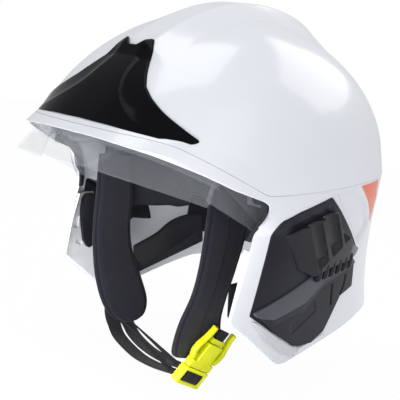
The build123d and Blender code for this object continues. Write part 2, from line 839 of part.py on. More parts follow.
shaft_hole = rod_y(shaft_radius + running_fit, housing_end_y - 2 * housing_wall,
                   housing_end_y + seam, 0.0, housing_z)
save("nape_cradle", solid_of(solid_of(cradle + housing) - hollow - shaft_hole))
nape_pad_stations = spread(cradle_turn + nape_pad_inset, quarter_turn, 6)
save("nape_pad", both(ring(cradle_radius, -cradle_thick - seam,
                           -cradle_thick - seam - nape_pad_thick, cradle_low_z - pad_grow,
                           cradle_high_z + pad_grow, nape_pad_stations)))
hollow_y = housing_y + housing_wall
hollow_end_y = housing_end_y - housing_wall


def star(centre, inner, outer, lobes, first, last):
    """Toothed wheel about Y: straight-sided teeth between two radii."""
    points = []
    for k in range(lobes):
        for part, radius in ((-0.28, inner), (-0.15, outer), (0.15, outer), (0.28, inner)):
            t = 2 * math.pi * (k + part) / lobes
            points.append((centre[0] + radius * math.sin(t), centre[1] + radius * math.cos(t)))
    return slab_y(points, first, last)


wheel = star((0.0, housing_z), pinion_radius - tooth_height / 2, pinion_radius + tooth_height / 2,
             pinion_teeth, hollow_y + seam, hollow_end_y - seam)
wheel = wheel + rod_y(shaft_radius, hollow_end_y - 2 * seam, housing_end_y + knob_depth / 2,
                      0.0, housing_z)
save("ratchet_pinion", solid_of(wheel))
knob = star((0.0, housing_z), knob_radius - tooth_height, knob_radius, knob_lobes,
            housing_end_y + seam, housing_end_y + knob_depth)
knob = knob - rod_y(shaft_radius + running_fit, housing_end_y, housing_end_y + knob_depth / 2
                    + seam, 0.0, housing_z)
save("ratchet_knob", solid_of(knob))


def make_rack():
    """Upper rack, reaching out to the left. The lower one is the same, turned half round."""
    low = housing_z + pinion_radius + tooth_height / 2 + seam
    high = housing_z + housing_half_z - housing_wall - seam
    tip = low - tooth_height * rack_tooth_share
    pitch = 2 * math.pi * pinion_radius / pinion_teeth
    points = [(rack_start, high), (rack_start, low)]
    for k in range(-rack_teeth // 2, rack_teeth // 2):
        x = pitch * (k + 1 / 2)
        points += [(x - pitch * rack_foot_share, low), (x - pitch * rack_tip_share, tip),
                   (x + pitch * rack_tip_share, tip), (x + pitch * rack_foot_share, low)]
    points += [(rack_start + rack_length, low), (rack_start + rack_length, high)]
    return slab_y(points, hollow_y + seam, hollow_y + seam + rack_depth)


rack = make_rack()
save("rack_left", rack)
save("rack_right", rack.rotate(Axis((0, 0, housing_z), (0, 1, 0)), 180))


# Straps: bands lofted through flat sections along their way
def band_solid(stops):
    """Loft through rectangles. Each stop holds a middle, a width direction, a flat normal,
    a width and a thickness."""
    wires = []
    for middle, across, normal, width, thick in stops:
        c = Vector(*middle)
        w = Vector(*across).normalized() * (width / 2)
        n = Vector(*normal).normalized() * (thick / 2)
        wires.append(Wire.make_polygon([c - w - n, c + w - n, c + w + n, c - w + n], close=True))
    return Solid.make_loft(wires)


# Long padded sleeves hanging beside the face: (z, x of the middle, front y, rear y)
sleeve_left = ((16.0, 70.5, -70.0, -28.0), (-10.0, 71.5, -70.0, -23.0),
               (-38.0, 69.0, -67.0, -24.0), (-60.0, 64.5, -65.0, -23.0),
               (-82.0, 57.5, -65.0, -17.0), (-100.0, 52.0, -62.0, -8.0),
               (-112.0, 47.5, -56.0, -6.0), (-119.0, 45.0, -44.0, -16.0))
sleeve_right = ((14.0, 70.5, -56.0, -18.0), (-10.0, 71.0, -53.0, -11.0),
                (-38.0, 71.0, -51.0, -8.0), (-60.0, 67.5, -50.0, -4.0),
                (-82.0, 60.5, -49.0, 4.0), (-102.0, 53.5, -44.0, 10.0),
                (-114.0, 48.5, -36.0, 6.0), (-121.0, 46.0, -24.0, -4.0))
sleeve_thick = 8.0
sleeve_edge_share = 0.9


def sleeve(rows):
    wires = []
    for z, x, front, rear in rows:
        plane = Plane(origin=(x, (front + rear) / 2, z), x_dir=(0, 1, 0), z_dir=(0, 0, 1))
        face = plane * RectangleRounded(rear - front, sleeve_thick,
                                        sleeve_thick / 2 * sleeve_edge_share)
        wires.append(face.wire() if hasattr(face, "wire") else face.wires()[0])
    return Solid.make_loft(wires)


save("strap_sleeve_left", sleeve(sleeve_left))
save("strap_sleeve_right", sleeve(sleeve_right).mirror(Plane.YZ))

# Webbing from the right sleeve under the chin to the slider of the buckle
web_thick = 1.8
web_width = 16.0
chin_front = ((-45.5, -24.0, -124.6), (-39.6, -28.5, -128.9), (-25.0, -33.5, -133.0),
              (-3.0, -38.0, -135.2), (18.8, -41.0, -134.0), (34.9, -43.0, -131.6),
              (45.4, -44.1, -129.7))
chin_rear = ((-42.5, -6.0, -125.4), (-37.0, -11.0, -128.6), (-25.0, -18.0, -130.4),
             (-6.2, -26.0, -130.6), (17.2, -34.0, -129.0), (35.4, -38.5, -126.4),
             (47.0, -39.9, -124.8))


def webbing(points, across):
    stops = []
    for k, p in enumerate(points):
        a = Vector(*points[max(k - 1, 0)])
        b = Vector(*points[min(k + 1, len(points) - 1)])
        along = (b - a).normalized()
        wide = Vector(*across)
        wide = (wide - along * wide.dot(along)).normalized()
        normal = along.cross(wide)
        stops.append((p, tuple(wide), tuple(normal), web_width, web_thick))
    return band_solid(stops)


save("chin_strap_front", webbing(chin_front, (0.0, 1.0, -0.1)))
save("chin_strap_rear", webbing(chin_rear, (0.0, 1.0, -0.1)))

# Webbing from the top of each sleeve up the liner to the headband
hanger_low = 16.3
hanger_high = 47.7
hanger_stations = spread(-50.0, -34.0, 4)
hanger = ring(cavity_radius, -band_gap, -band_gap - web_thick, hanger_low, hanger_high,
              hanger_stations)
save_pair("strap_hanger", hanger)

# Nape strap on each side, from the sleeve back to the end of the cradle
nape_start_left = (63.6, -17.6, -66.0)
nape_start_right = (66.0, 0.6, -66.0)
nape_way = ((69.5, 28.0, -54.0), (71.0, 46.0, -41.4), (70.3, 55.8, -34.6))
nape_width = 24.0
nape_thick = 3.0


def nape_strap(points):
    stops = []
    for k, p in enumerate(points):
        a = Vector(*points[max(k - 1, 0)])
        b = Vector(*points[min(k + 1, len(points) - 1)])
        along = (b - a).normalized()
        wide = (Vector(0, 0, 1) - along * along.Z).normalized()
        stops.append((p, tuple(wide), tuple(along.cross(wide)), nape_width, nape_thick))
    return band_solid(stops)


save("nape_strap_left", nape_strap((nape_start_left,) + nape_way))
save("nape_strap_right", nape_strap((nape_start_right,) + nape_way).mirror(Plane.YZ))

# Buckle on the left sleeve, in its own plane: across the strap, up it and outwards
buckle_middle = (59.4, -27.6, -110.8)
buckle_across = (0.0, 0.924, -0.383)
buckle_out = (0.95, -0.12, -0.29)
buckle_plane = Plane(origin=buckle_middle, x_dir=buckle_across, z_dir=buckle_out)
block_half = 14.0
block_low = -15.0
block_high = -8.2
centre_half = 9.0
centre_high = 8.8
body_thick = 7.0
lever_thick = 5.0
lever_outline = ((11.5, -7.8), (15.5, -7.8), (18.5, -2.0), (18.5, 4.0), (16.2, 11.0),
                 (14.8, 17.0), (14.6, 22.5), (11.6, 22.5), (11.6, 16.4), (13.0, 9.5),
                 (14.8, 3.4), (14.8, -0.7), (12.4, -5.4))
tongue_half = 8.0
tongue_low = 9.2
tongue_high = 13.6
tongue_thick = 4.5
tongue_slot = 1.6
tab_half = 6.5
tab_high = 21.8
slider_half = 15.0
slider_low = -31.3
slider_high = -15.4
slider_thick = 8.0
slider_window = 11.5
slider_bar = 3.4
roll_gap = 0.3


def plate(points, thick):
    """Plate in the plane of the buckle over an outline, centred through its thickness."""
    wire = Wire.make_polygon([Vector(x, y, -thick / 2) for x, y in points], close=True)
    return Solid.extrude(Face(wire), Vector(0, 0, thick))


def box_points(x0, x1, y0, y1):
    return [(x0, y0), (x1, y0), (x1, y1), (x0, y1)]


def save_buckle(name, shape):
    save(name, buckle_plane.location * shape)


body = plate(box_points(-block_half, block_half, block_low, block_high), body_thick)
centre = plate(box_points(-centre_half, centre_half, block_high - slider_bar, centre_high),
               body_thick)
save_buckle("buckle_body", solid_of(body + centre))
save_buckle("buckle_lever_rear", plate(lever_outline, lever_thick))
save_buckle("buckle_lever_front", plate([(-x, y) for x, y in lever_outline], lever_thick))
tongue = plate(box_points(-tongue_half, tongue_half, tongue_low, tongue_high), tongue_thick)
tongue = tongue - plate(box_points(-tab_half - roll_gap, tab_half + roll_gap,
                                   tongue_high - tongue_slot * 2, tongue_high + tongue_slot),
                        web_thick + 2 * roll_gap)
save_buckle("buckle_tongue", solid_of(tongue))
slider = plate(box_points(-slider_half, slider_half, slider_low, slider_high), slider_thick)
slider = slider - plate(box_points(-slider_window, slider_window, slider_low + slider_bar,
                                   slider_high - slider_bar), 2 * slider_thick)
save_buckle("buckle_slider", solid_of(slider))
roll = plate(box_points(roll_gap - slider_window, slider_window - roll_gap,
                        slider_low + slider_bar + roll_gap, slider_high - slider_bar - roll_gap),
             slider_thick)
save_buckle("slider_webbing", roll)
tab = plate(box_points(-tab_half, tab_half, tongue_high - tongue_slot * 3 / 2, tab_high), web_thick)
save_buckle("tongue_webbing", tab)
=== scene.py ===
import json
import math
import bmesh
import bpy
import numpy as np
from mathutils import Matrix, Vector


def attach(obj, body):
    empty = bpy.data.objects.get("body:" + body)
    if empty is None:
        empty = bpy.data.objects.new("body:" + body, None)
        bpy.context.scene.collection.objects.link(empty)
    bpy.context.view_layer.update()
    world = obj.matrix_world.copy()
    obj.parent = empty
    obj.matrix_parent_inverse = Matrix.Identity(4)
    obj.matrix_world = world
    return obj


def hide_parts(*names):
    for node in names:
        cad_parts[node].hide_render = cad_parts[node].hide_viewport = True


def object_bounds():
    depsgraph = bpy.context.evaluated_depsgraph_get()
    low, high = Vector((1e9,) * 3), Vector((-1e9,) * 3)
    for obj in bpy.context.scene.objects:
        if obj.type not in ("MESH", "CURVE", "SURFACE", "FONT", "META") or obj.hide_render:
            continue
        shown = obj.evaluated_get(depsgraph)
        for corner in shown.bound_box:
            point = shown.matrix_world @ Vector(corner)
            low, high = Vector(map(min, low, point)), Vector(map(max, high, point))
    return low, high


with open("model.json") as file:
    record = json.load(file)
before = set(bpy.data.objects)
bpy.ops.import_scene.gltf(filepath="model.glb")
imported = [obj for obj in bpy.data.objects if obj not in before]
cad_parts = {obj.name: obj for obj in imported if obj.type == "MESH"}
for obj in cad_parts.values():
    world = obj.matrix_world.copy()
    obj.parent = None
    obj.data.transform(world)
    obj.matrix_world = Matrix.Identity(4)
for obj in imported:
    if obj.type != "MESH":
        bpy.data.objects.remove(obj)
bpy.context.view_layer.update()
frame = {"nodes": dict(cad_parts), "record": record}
nodes = frame["nodes"]
pi = math.pi
mm = 0.001  # metres in a millimetre
print("stage: frame loaded")

# Shader helpers.


class Num:
    # A number socket in a node tree; its operators add Math nodes.

    def __init__(self, tree, socket):
        self.tree, self.socket = tree, socket

    def maths(self, kind, *values):
        return self.tree.node("ShaderNodeMath", {"operation": kind}, dict(enumerate(values))).num(0)

    def __add__(self, o):
        return self.maths("ADD", self, o)

    def __mul__(self, o):
        return self.maths("MULTIPLY", self, o)

    def __pow__(self, o):
        return self.maths("POWER", self, o)

    def __rsub__(self, o):
        return self.maths("SUBTRACT", o, self)

    def sin(self):
        return self.maths("SINE", self)

    def step(self, low, high):
        # 0 below low, 1 above high, smooth between.
        settings = {"interpolation_type": "SMOOTHSTEP"}
        return self.tree.node("ShaderNodeMapRange", settings, {0: self, 1: low, 2: high}).num(0)

    __radd__ = __add__
    __rmul__ = __mul__


class Made:
    # A node that was added, and its outputs as numbers or raw sockets.

    def __init__(self, tree, node):
        self.tree, self.raw = tree, node

    def num(self, key):
        return Num(self.tree, self.raw.outputs[key])

    def out(self, key):
        return self.raw.outputs[key]


class Tree:
    # The node tree of a new material or world.

    def __init__(self, owner, output="ShaderNodeOutputMaterial"):
        owner.use_nodes = True
        self.owner, self.tree = owner, owner.node_tree
        self.tree.nodes.clear()
        self.output = self.node(output).raw

    def node(self, kind, settings=None, sockets=None):
        made = self.tree.nodes.new(kind)
        for key, value in (settings or {}).items():
            setattr(made, key, value)
        for key, value in (sockets or {}).items():
            self.plug(made.inputs[key], value)
        return Made(self, made)

    def plug(self, target, value):
        if isinstance(value, Num):
            value = value.socket
        if isinstance(value, bpy.types.NodeSocket):
            self.tree.links.new(value, target)
        else:
            target.default_value = value

    def coordinates(self, key):
        return self.node("ShaderNodeTexCoord").out(key)

    def noise(self, scale, detail):
        sockets = {"Vector": self.coordinates("Object"), "Scale": scale, "Detail": detail}
        return self.node("ShaderNodeTexNoise", {}, sockets).num(0)

    def split(self, vector):
        made = self.node("ShaderNodeSeparateXYZ", {}, {0: vector})
        return made.num(0), made.num(1)

    def mix(self, factor, a, b):
        made = self.node("ShaderNodeMix", {"data_type": "RGBA"})
        self.plug(made.raw.inputs[0], factor)
        self.plug(made.raw.inputs[6], a)
        self.plug(made.raw.inputs[7], b)
        return made.raw.outputs[2]

    def bump(self, height, strength, distance):
        return self.node("ShaderNodeBump", {}, {"Height": height, "Strength": strength,
                                                "Distance": distance}).out(0)

    def show(self, made):
        self.tree.links.new(made.out(0), self.output.inputs[0])
        return self.owner

    def finish(self, sockets):
        return self.show(self.node("ShaderNodeBsdfPrincipled", {}, sockets))


def newMaterial(name):
    return Tree(bpy.data.materials.new(name))


def rgb(r, g, b):
    return (r, g, b, 1.0)


# Materials, one per finish.

shellPaint = {"color": rgb(0.77, 0.788, 0.826), "shade": rgb(0.75, 0.769, 0.808), "rough": 0.2}


def makeShellPaint():
    # White paint with a slow mottle, a little dust and a fine orange peel.
    t = newMaterial("shellPaint")
    mottle = t.noise(9.0, 2.0)
    peel = t.noise(900.0, 1.0)
    dust = t.noise(60.0, 4.0)
    return t.finish({
        "Base Color": t.mix(mottle.step(0.35, 0.7) * 0.35, shellPaint["color"], shellPaint["shade"]),
        "Roughness": shellPaint["rough"] + dust.step(0.45, 0.8) * 0.03,
        "Coat Weight": 0.3, "Coat Roughness": 0.06, "Specular IOR Level": 0.45,
        "Normal": t.bump(peel, 0.02, 0.0001)})


def makeGlossBlack():
    # Deep black gloss under a faint haze.
    t = newMaterial("glossBlack")
    haze = t.noise(35.0, 3.0)
    return t.finish({
        "Base Color": t.mix(haze * 0.4, rgb(0.003, 0.003, 0.004), rgb(0.008, 0.008, 0.011)),
        "Roughness": 0.1 + haze.step(0.4, 0.8) * 0.04, "Specular IOR Level": 0.05,
        "Normal": t.bump(t.noise(700.0, 1.0), 0.02, 0.0001)})


def makeMoulding(name, color, rough, grain, gloss=0.22):
    # Moulding of one colour with a fine grain, paler where it is worn.
    t = newMaterial(name)
    fine = t.noise(grain, 4.0)
    wear = t.noise(25.0, 3.0)
    pale = tuple(min(c * 1.5 + 0.004, 1.0) for c in color[:3]) + (1.0,)
    return t.finish({
        "Base Color": t.mix(wear.step(0.45, 0.75) * 0.5, color, pale),
        "Roughness": rough + fine * 0.12, "Specular IOR Level": gloss,
        "Normal": t.bump(fine, 0.25, 0.0004)})


def makeFabric(name, color, thread, scale):
    # Woven cloth: crossed threads from two sine waves over the piece's UV, with lint noise.
    t = newMaterial(name)
    u, v = t.split(t.coordinates("UV"))
    warp = (u * scale).sin() * 0.5 + 0.5
    weft = (v * scale).sin() * 0.5 + 0.5
    over = ((u * (scale / 2) + v * (scale / 2)).sin()).step(-0.2, 0.2)
    cloth = warp * over + weft * (1 - over)
    lint = t.noise(420.0, 3.0)
    fold = t.noise(22.0, 3.0)
    shade = t.mix(cloth * 0.55 + lint * 0.45, color, thread)
    return t.finish({
        "Base Color": t.mix(fold.step(0.3, 0.8) * 0.3, shade, color),
        "Roughness": 0.82 + lint * 0.12, "Specular IOR Level": 0.25,
        "Sheen Weight": 0.12, "Sheen Roughness": 0.5,
        "Normal": t.bump(cloth * 0.6 + fold * 0.8, 0.5, 0.0006)})


def makeClear(name):
    # Clear moulding: see-through face on, milky and glossy where it turns away.
    t = newMaterial(name)
    turn = t.node("ShaderNodeLayerWeight", {}, {"Blend": 0.35}).num("Facing")
    smear = t.noise(14.0, 4.0)
    return t.finish({
        "Base Color": rgb(0.60, 0.63, 0.68), "Roughness": 0.03 + smear.step(0.55, 0.9) * 0.04,
        "Alpha": (turn ** 4.0) * 0.16 + 0.10, "IOR": 1.5, "Coat Weight": 1.0, "Coat Roughness": 0.02})


def makeReflective():
    # Cube-corner sheet: a fine honeycomb over bright orange.
    t = newMaterial("reflectiveOrange")
    cells = t.node("ShaderNodeTexVoronoi", {"feature": "DISTANCE_TO_EDGE"},
                   {"Vector": t.coordinates("Object"), "Scale": 420.0}).num(0)
    edge = cells.step(0.02, 0.12)
    return t.finish({
        "Base Color": t.mix(edge, rgb(0.78, 0.12, 0.035), rgb(0.93, 0.17, 0.05)),
        "Roughness": 0.32 + edge * 0.1, "Coat Weight": 0.4, "Coat Roughness": 0.15,
        "Normal": t.bump(edge, 0.15, 0.0003)})


def makeBuckleYellow():
    # Bright moulding with a slow cloud and a fine grain.
    t = newMaterial("buckleYellow")
    cloud = t.noise(45.0, 3.0)
    grain = t.noise(1500.0, 2.0)
    return t.finish({
        "Base Color": t.mix(cloud.step(0.35, 0.75), rgb(0.80, 0.84, 0.0), rgb(0.88, 0.90, 0.01)),
        "Roughness": 0.38 + grain * 0.08, "Specular IOR Level": 0.5,
        "Normal": t.bump(grain, 0.15, 0.0002)})


def makeSteel():
    # Bare metal with a light brushing.
    t = newMaterial("pivotSteel")
    brush = t.noise(300.0, 2.0)
    return t.finish({
        "Base Color": t.mix(brush, rgb(0.55, 0.55, 0.57), rgb(0.7, 0.7, 0.72)),
        "Metallic": 1.0, "Roughness": 0.28 + brush * 0.1})


paint = {
    "shell_white": makeShellPaint(),
    "plate_black": makeGlossBlack(),
    "trim_black": makeMoulding("trimBlack", rgb(0.010, 0.0102, 0.0155), 0.36, 900.0),
    "lens_clear": makeMoulding("lensClear", rgb(0.62, 0.63, 0.66), 0.15, 500.0),
    "visor_clear": makeClear("visorClear"),
    "reflective_orange": makeReflective(),
    "seal_rubber": makeMoulding("sealRubber", rgb(0.018, 0.018, 0.022), 0.6, 1200.0),
    "liner_white": makeMoulding("linerWhite", rgb(0.78, 0.79, 0.82), 0.4, 900.0),
    "inner_dark": makeMoulding("innerDark", rgb(0.03, 0.031, 0.04), 0.5, 700.0),
    "liner_foam": makeMoulding("linerFoam", rgb(0.035, 0.036, 0.045), 0.8, 260.0),
    "pivot_steel": makeSteel(),
    "padding_black": makeFabric("paddingBlack", rgb(0.007, 0.007, 0.012), rgb(0.024, 0.0245, 0.038),
                                5200.0),
    "webbing_black": makeFabric("webbingBlack", rgb(0.006, 0.006, 0.009), rgb(0.021, 0.021, 0.029),
                                3600.0),
    "buckle_yellow": makeBuckleYellow(),
    # Lighter grey copy of the trim black with a satin gloss: the grey is a painted highlight on the ledge
    # faces of the side modules.
    "satinLedgeHighlight": makeMoulding("satinLedgeHighlight", rgb(0.075, 0.077, 0.092), 0.3, 1100.0, 0.4),
    "railGloss": makeMoulding("railGloss", rgb(0.010, 0.0102, 0.0145), 0.14, 900.0, 0.3),
}
for part in frame["record"]["subparts"]:
    cad = nodes[part["node"]]
    cad.data.materials.clear()
    cad.data.materials.append(paint[part["material_slot"]])
print("stage: materials made")

# Mesh helpers; shapes are worked out in millimetres.


def quads(rows, cols, wrapRows, wrapCols):
    # Corner numbers of every quad of a grid of points.
    r = np.arange(rows if wrapRows else rows - 1)[:, None]
    c = np.arange(cols if wrapCols else cols - 1)[None, :]
    r2, c2 = (r + 1) % rows, (c + 1) % cols
    parts = [r * cols + c, r * cols + c2, r2 * cols + c2, r2 * cols + c]
    return np.stack([np.broadcast_to(p, (r.size, c.size)) for p in parts], -1).reshape(-1, 4)


def signedVolume(points, faces):
    a, b, c = points[faces[:, 0]], points[faces[:, 1]], points[faces[:, 2]]
    d = points[faces[:, 3]]
    half = np.einsum("ij,ij->i", a, np.cross(b, c)) + np.einsum("ij,ij->i", a, np.cross(c, d))
    return half.sum()


def ringSurface(grid, ends="wrap"):
    # Closed surface from rings of points, shape (rings, around, 3). Its ends meet each other
    # (wrap) or close in their middles (cap).
    rows, cols, _ = grid.shape
    points = grid.reshape(-1, 3)
    faces = quads(rows, cols, ends == "wrap", True)
    if ends == "cap":
        first, last = grid[0].mean(0), grid[-1].mean(0)
        n = len(points)
        points = np.vstack([points, first, last])
        c = np.arange(cols)
        c2 = (c + 1) % cols
        low = np.stack([c2, c, np.full(cols, n), np.full(cols, n)], -1)
        k = (rows - 1) * cols
        high = np.stack([k + c, k + c2, np.full(cols, n + 1), np.full(cols, n + 1)], -1)
        faces = np.vstack([faces, low, high])
    return points, faces


def sheetSolid(top, bottom):
    # Closed plate between two grids of the same shape, joined round their border.
    rows, cols, _ = top.shape
    n = rows * cols
    faces = quads(rows, cols, False, False)
    grid = np.arange(n).reshape(rows, cols)
    rim = np.concatenate([grid[0, :-1], grid[:-1, -1], grid[-1, :0:-1], grid[:0:-1, 0]])
    nxt = np.roll(rim, -1)
    side = np.stack([nxt, rim, rim + n, nxt + n], -1)
    points = np.vstack([top.reshape(-1, 3), bottom.reshape(-1, 3)])
    return points, np.vstack([faces, faces[:, ::-1] + n, side])


def joined(parts):
    # Several closed surfaces as one set of points and faces.
    points, faces, at = [], [], 0
    for p, f in parts:
        if signedVolume(p, f) < 0:
            f = f[:, ::-1]
        points.append(p)
        faces.append(f + at)
        at += len(p)
    return np.vstack(points), np.vstack(faces)


def flipped(part):
    # Mirror image across the middle plane of the helmet.
    points, faces = part
    return points * np.array([-1.0, 1.0, 1.0]), faces[:, ::-1]


def nodeOf(name):
    # The solid that a piece stands for: strapSleeveLeft stands for strap_sleeve_left.
    return "".join("_" + c.lower() if c.isupper() else c for c in name)


def addObject(name, data):
    made = bpy.data.objects.new(name, data)
    bpy.context.scene.collection.objects.link(made)
    return made


def readArray(items, key, width=3, kind=float):
    values = np.zeros(len(items) * width, kind)
    items.foreach_get(key, values)
    return values.reshape(-1, width)


def setUv(mesh, uv):
    # One place in metres for each point of the mesh, given to its corners.
    layer = mesh.uv_layers.new(name="uv")
    corner = readArray(mesh.loops, "vertex_index", 1, np.int32)[:, 0]
    layer.data.foreach_set("uv", uv[corner].ravel())


def standFor(piece, slotName, body, node):
    # The piece takes a slot's finish, rides on a body and stands for a solid.
    piece.data.materials.append(paint[slotName])
    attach(piece, body)
    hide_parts(node)
    return piece


def makePiece(name, parts, slotName, body="helmet", node=None, uv=None, sharp=None):
    # Object from closed surfaces in millimetres, smooth shaded.
    points, faces = joined(parts)
    mesh = bpy.data.meshes.new(name)
    tri = faces[:, 3] == faces[:, 2]
    mesh.from_pydata((points * mm).tolist(), [], faces[~tri].tolist() + faces[tri][:, :3].tolist())
    mesh.shade_smooth()
    if uv is not None:
        setUv(mesh, np.vstack(uv) * mm)
    if sharp:
        mesh.set_sharp_from_angle(angle=math.radians(sharp))
    return standFor(addObject(name, mesh), slotName, body, node or nodeOf(name))


def finishModifiers(piece):
    # Fixes the result of the modifiers in the mesh.
    seen = piece.evaluated_get(bpy.context.evaluated_depsgraph_get())
    mesh = bpy.data.meshes.new_from_object(seen)
    piece.modifiers.clear()
    piece.data = mesh


def solidCopy(name, flat=None):
    # New object from the piece's solid: points merged and, within an angle, facets joined.
    work = bmesh.new()
    work.from_mesh(nodes[nodeOf(name)].data)
    bmesh.ops.remove_doubles(work, verts=work.verts, dist=1e-6)
    if flat:
        bmesh.ops.dissolve_limit(work, angle_limit=math.radians(flat), verts=work.verts,
                                 edges=work.edges)
    mesh = bpy.data.meshes.new(name)
    work.to_mesh(mesh)
    work.free()
    return addObject(name, mesh)


def ease(t):
    t = np.clip(t, 0, 1)
    return t * t * (3 - 2 * t)


def segmentDistance(y, z, a, b):
    # Distance from places in the side view to the line from a to b.
    d = (b[0] - a[0], b[1] - a[1])
    t = np.clip(((y - a[0]) * d[0] + (z - a[1]) * d[1]) / (d[0] * d[0] + d[1] * d[1]), 0, 1)
    return np.hypot(y - a[0] - t * d[0], z - a[1] - t * d[1])


def curveThrough(points, count):
    # Smooth curve through points (Catmull-Rom), sampled evenly in parameter.
    p = np.asarray(points, float)
    p = np.vstack([2 * p[0] - p[1], p, 2 * p[-1] - p[-2]])
    t = np.linspace(0, len(p) - 3 - 1e-9, count)
    k = t.astype(int)
    f = (t - k)[:, None]
    a, b, c, d = p[k], p[k + 1], p[k + 2], p[k + 3]
    return 0.5 * (2 * b + (c - a) * f + (2 * a - 5 * b + 4 * c - d) * f ** 2
                  + (3 * b - a - 3 * c + d) * f ** 3)


def roundedOutline(points, radii, step):
    # Polygon with its corners turned into arcs, resampled at an even step.
    p = np.asarray(points, float)
    n = len(p)
    out = []
    for k in range(n):
        a, b, c = p[k - 1], p[k], p[(k + 1) % n]
        u, v = (a - b), (c - b)
        lu, lv = np.linalg.norm(u), np.linalg.norm(v)
        u, v = u / lu, v / lv
        half = math.acos(np.clip(u @ v, -1, 1)) / 2
        radius = radii.get(k, radii.get("rest", 1.0))
        cut = min(radius / math.tan(half), lu * 0.48, lv * 0.48)
        turn = np.linspace(0, 1, 9)[:, None]
        start, end = b + u * cut, b + v * cut
        out.append((1 - turn) ** 2 * start + 2 * turn * (1 - turn) * b + turn ** 2 * end)
    q = np.vstack(out)
    q = np.vstack([q, q[:1]])
    far = np.concatenate([[0], np.cumsum(np.linalg.norm(np.diff(q, axis=0), axis=1))])
    count = max(int(far[-1] / step), 24)
    at = np.linspace(0, far[-1], count, endpoint=False)
    return np.stack([np.interp(at, far, q[:, i]) for i in range(2)], -1)


# The shell's surfaces, level ovals about an upright axis.

shellForm = {
    "axisY": 14.0, "wall": 2.8, "seam": 0.3,
    "domeHalf": 114.0, "domeFront": 160.0, "domeRear": 164.0, "domeBase": 45.0, "domeTop": 158.0,
    "waistHalf": 119.0, "waistFront": 162.0, "waistRear": 165.0, "brimFlare": 8.0, "brimFace": 7.0,
    "domeSquare": (2.5, 2.35), "waistSquare": (2.45, 2.25),
}
axisY = shellForm["axisY"]


def crease(y, lowY, lowZ, foreRise, aftRise, level):
    # Two slopes from the lowest point, softened there, levelling off over the brow.
    soft = 4.0
    d = y - lowY
    z = lowZ + (aftRise - foreRise) / 2 * d
    z = z + (aftRise + foreRise) / 2 * (np.sqrt(d * d + soft * soft) - soft)
    over = z - (level - soft)
    return np.where((y < lowY) & (over > 0), level - soft * np.exp(-np.maximum(over, 0) / soft), z)


def upperCrease(y):
    return crease(y, -70.0, 45.5, 0.45, 0.128, 62.0)


def lowerCrease(y):
    return crease(y, -57.0, 28.0, 0.40, 0.11, 55.5)


def oval(phi, half, front, rear, squareFront, squareRear):
    # Radius of an oval: (c/half)^n + (s/length)^n = 1, with its own n front and rear.
    c, s = np.abs(np.cos(phi)), np.sin(phi)
    n = np.where(s < 0, squareFront, squareRear)
    length = np.where(s < 0, front, rear)
    return ((c / half) ** n + (np.abs(s) / length) ** n) ** (-1 / n)


def domeRadius(phi, z, off=0.0):
    # Radius of the dome at a height: each half axis shrinks with its own power of the rise.
    f = shellForm
    rise = np.clip((z - f["domeBase"]) / (f["domeTop"] + off - f["domeBase"]), 0, 1)
    side, fore, aft = [np.sqrt(np.maximum(1 - rise ** p, 1e-9)) for p in (2.05, 1.32, 1.83)]
    return oval(phi, (f["domeHalf"] + off) * side, (f["domeFront"] + off) * fore,
                (f["domeRear"] + off) * aft, *f["domeSquare"])


def waistRadius(phi, off=0.0):
    f = shellForm
    return oval(phi, f["waistHalf"] + off, f["waistFront"] + off, f["waistRear"] + off,
                *f["waistSquare"])


def wallShape(z, flare=shellForm["brimFlare"]):
    # Half width, front reach, rear reach and squareness of the lower wall at a height.
    f = shellForm
    squareFront, squareRear = f["waistSquare"]
    lean = 17.0 * (np.maximum(26.0 - z, 0) / 146.0) ** 1.25
    brim = ease((z + 4.0) / 32.0)
    cheek = 84.0 + 0.37 * np.maximum(-z, 0)
    front = cheek + (f["waistFront"] + flare - cheek) * brim
    square = 3.4 + (squareFront - 3.4) * brim
    deep = np.maximum(28.0 - z, 0) / 125.0
    bulge = 10.0 * np.exp(-((z + 92.0) / 32.0) ** 2)
    rear = f["waistRear"] + bulge - np.exp(-((z + 10.0) / 32.0) ** 2)
    return f["waistHalf"] - lean, front, rear, square, squareRear + 1.35 * deep ** 2


def wallRadius(phi, z, off=0.0, flare=shellForm["brimFlare"]):
    half, front, rear, squareFront, squareRear = wallShape(z, flare)
    return oval(phi, half + off, front + off, rear + off, squareFront, squareRear)


def levelOf(phi, radiusAt, line, steps=40):
    # Height where a line over y crosses each upright of a surface, found by repeated averages.
    z = np.full(np.shape(phi), shellForm["domeBase"])
    for _ in range(steps):
        z = (z + line(axisY + radiusAt(phi, z) * np.sin(phi))) / 2
    return z


def place(phi, radius, z):
    return np.stack(np.broadcast_arrays(radius * np.cos(phi), axisY + radius * np.sin(phi), z), -1)


def wallAt(y, z, off):
    # Point of the lower wall at a place in the side view, from the oval solved for x.
    half, front, rear, squareFront, squareRear = wallShape(z)
    s = y - axisY
    n = np.where(s < 0, squareFront, squareRear)
    length = np.where(s < 0, front, rear) + off
    x = (half + off) * np.maximum(1 - (np.abs(s) / length) ** n, 1e-6) ** (1 / n)
    return np.stack(np.broadcast_arrays(x, y, z), -1)


# Crown with its crest.

crestForm = {"front": -99.0, "peakY": 32.0, "peakZ": 168.0, "rear": 158.0, "top": 12.0,
             "frontDrop": 50.5, "rearDrop": 63.0, "footY": [-115, -60, 25, 45, 75, 95, 130, 160],
             "footHalf": [38, 35.5, 34, 38, 45, 48, 40, 26], "fadeFront": (-106.0, 8.0),
             "fadeRear": (168.0, 22.0), "around": 440, "rows": 150}


def domeHeight(x, y):
    # Height of the dome over the plan, by halving.
    phi = np.arctan2(y - axisY, np.abs(x))
    far = np.hypot(x, y - axisY)
    low = np.full(np.shape(x), shellForm["domeBase"])
    high = np.full(np.shape(x), shellForm["domeTop"] - 0.01)
    for _ in range(32):
        mid = (low + high) / 2
        outside = domeRadius(phi, mid) > far
        low, high = np.where(outside, mid, low), np.where(outside, high, mid)
    return low


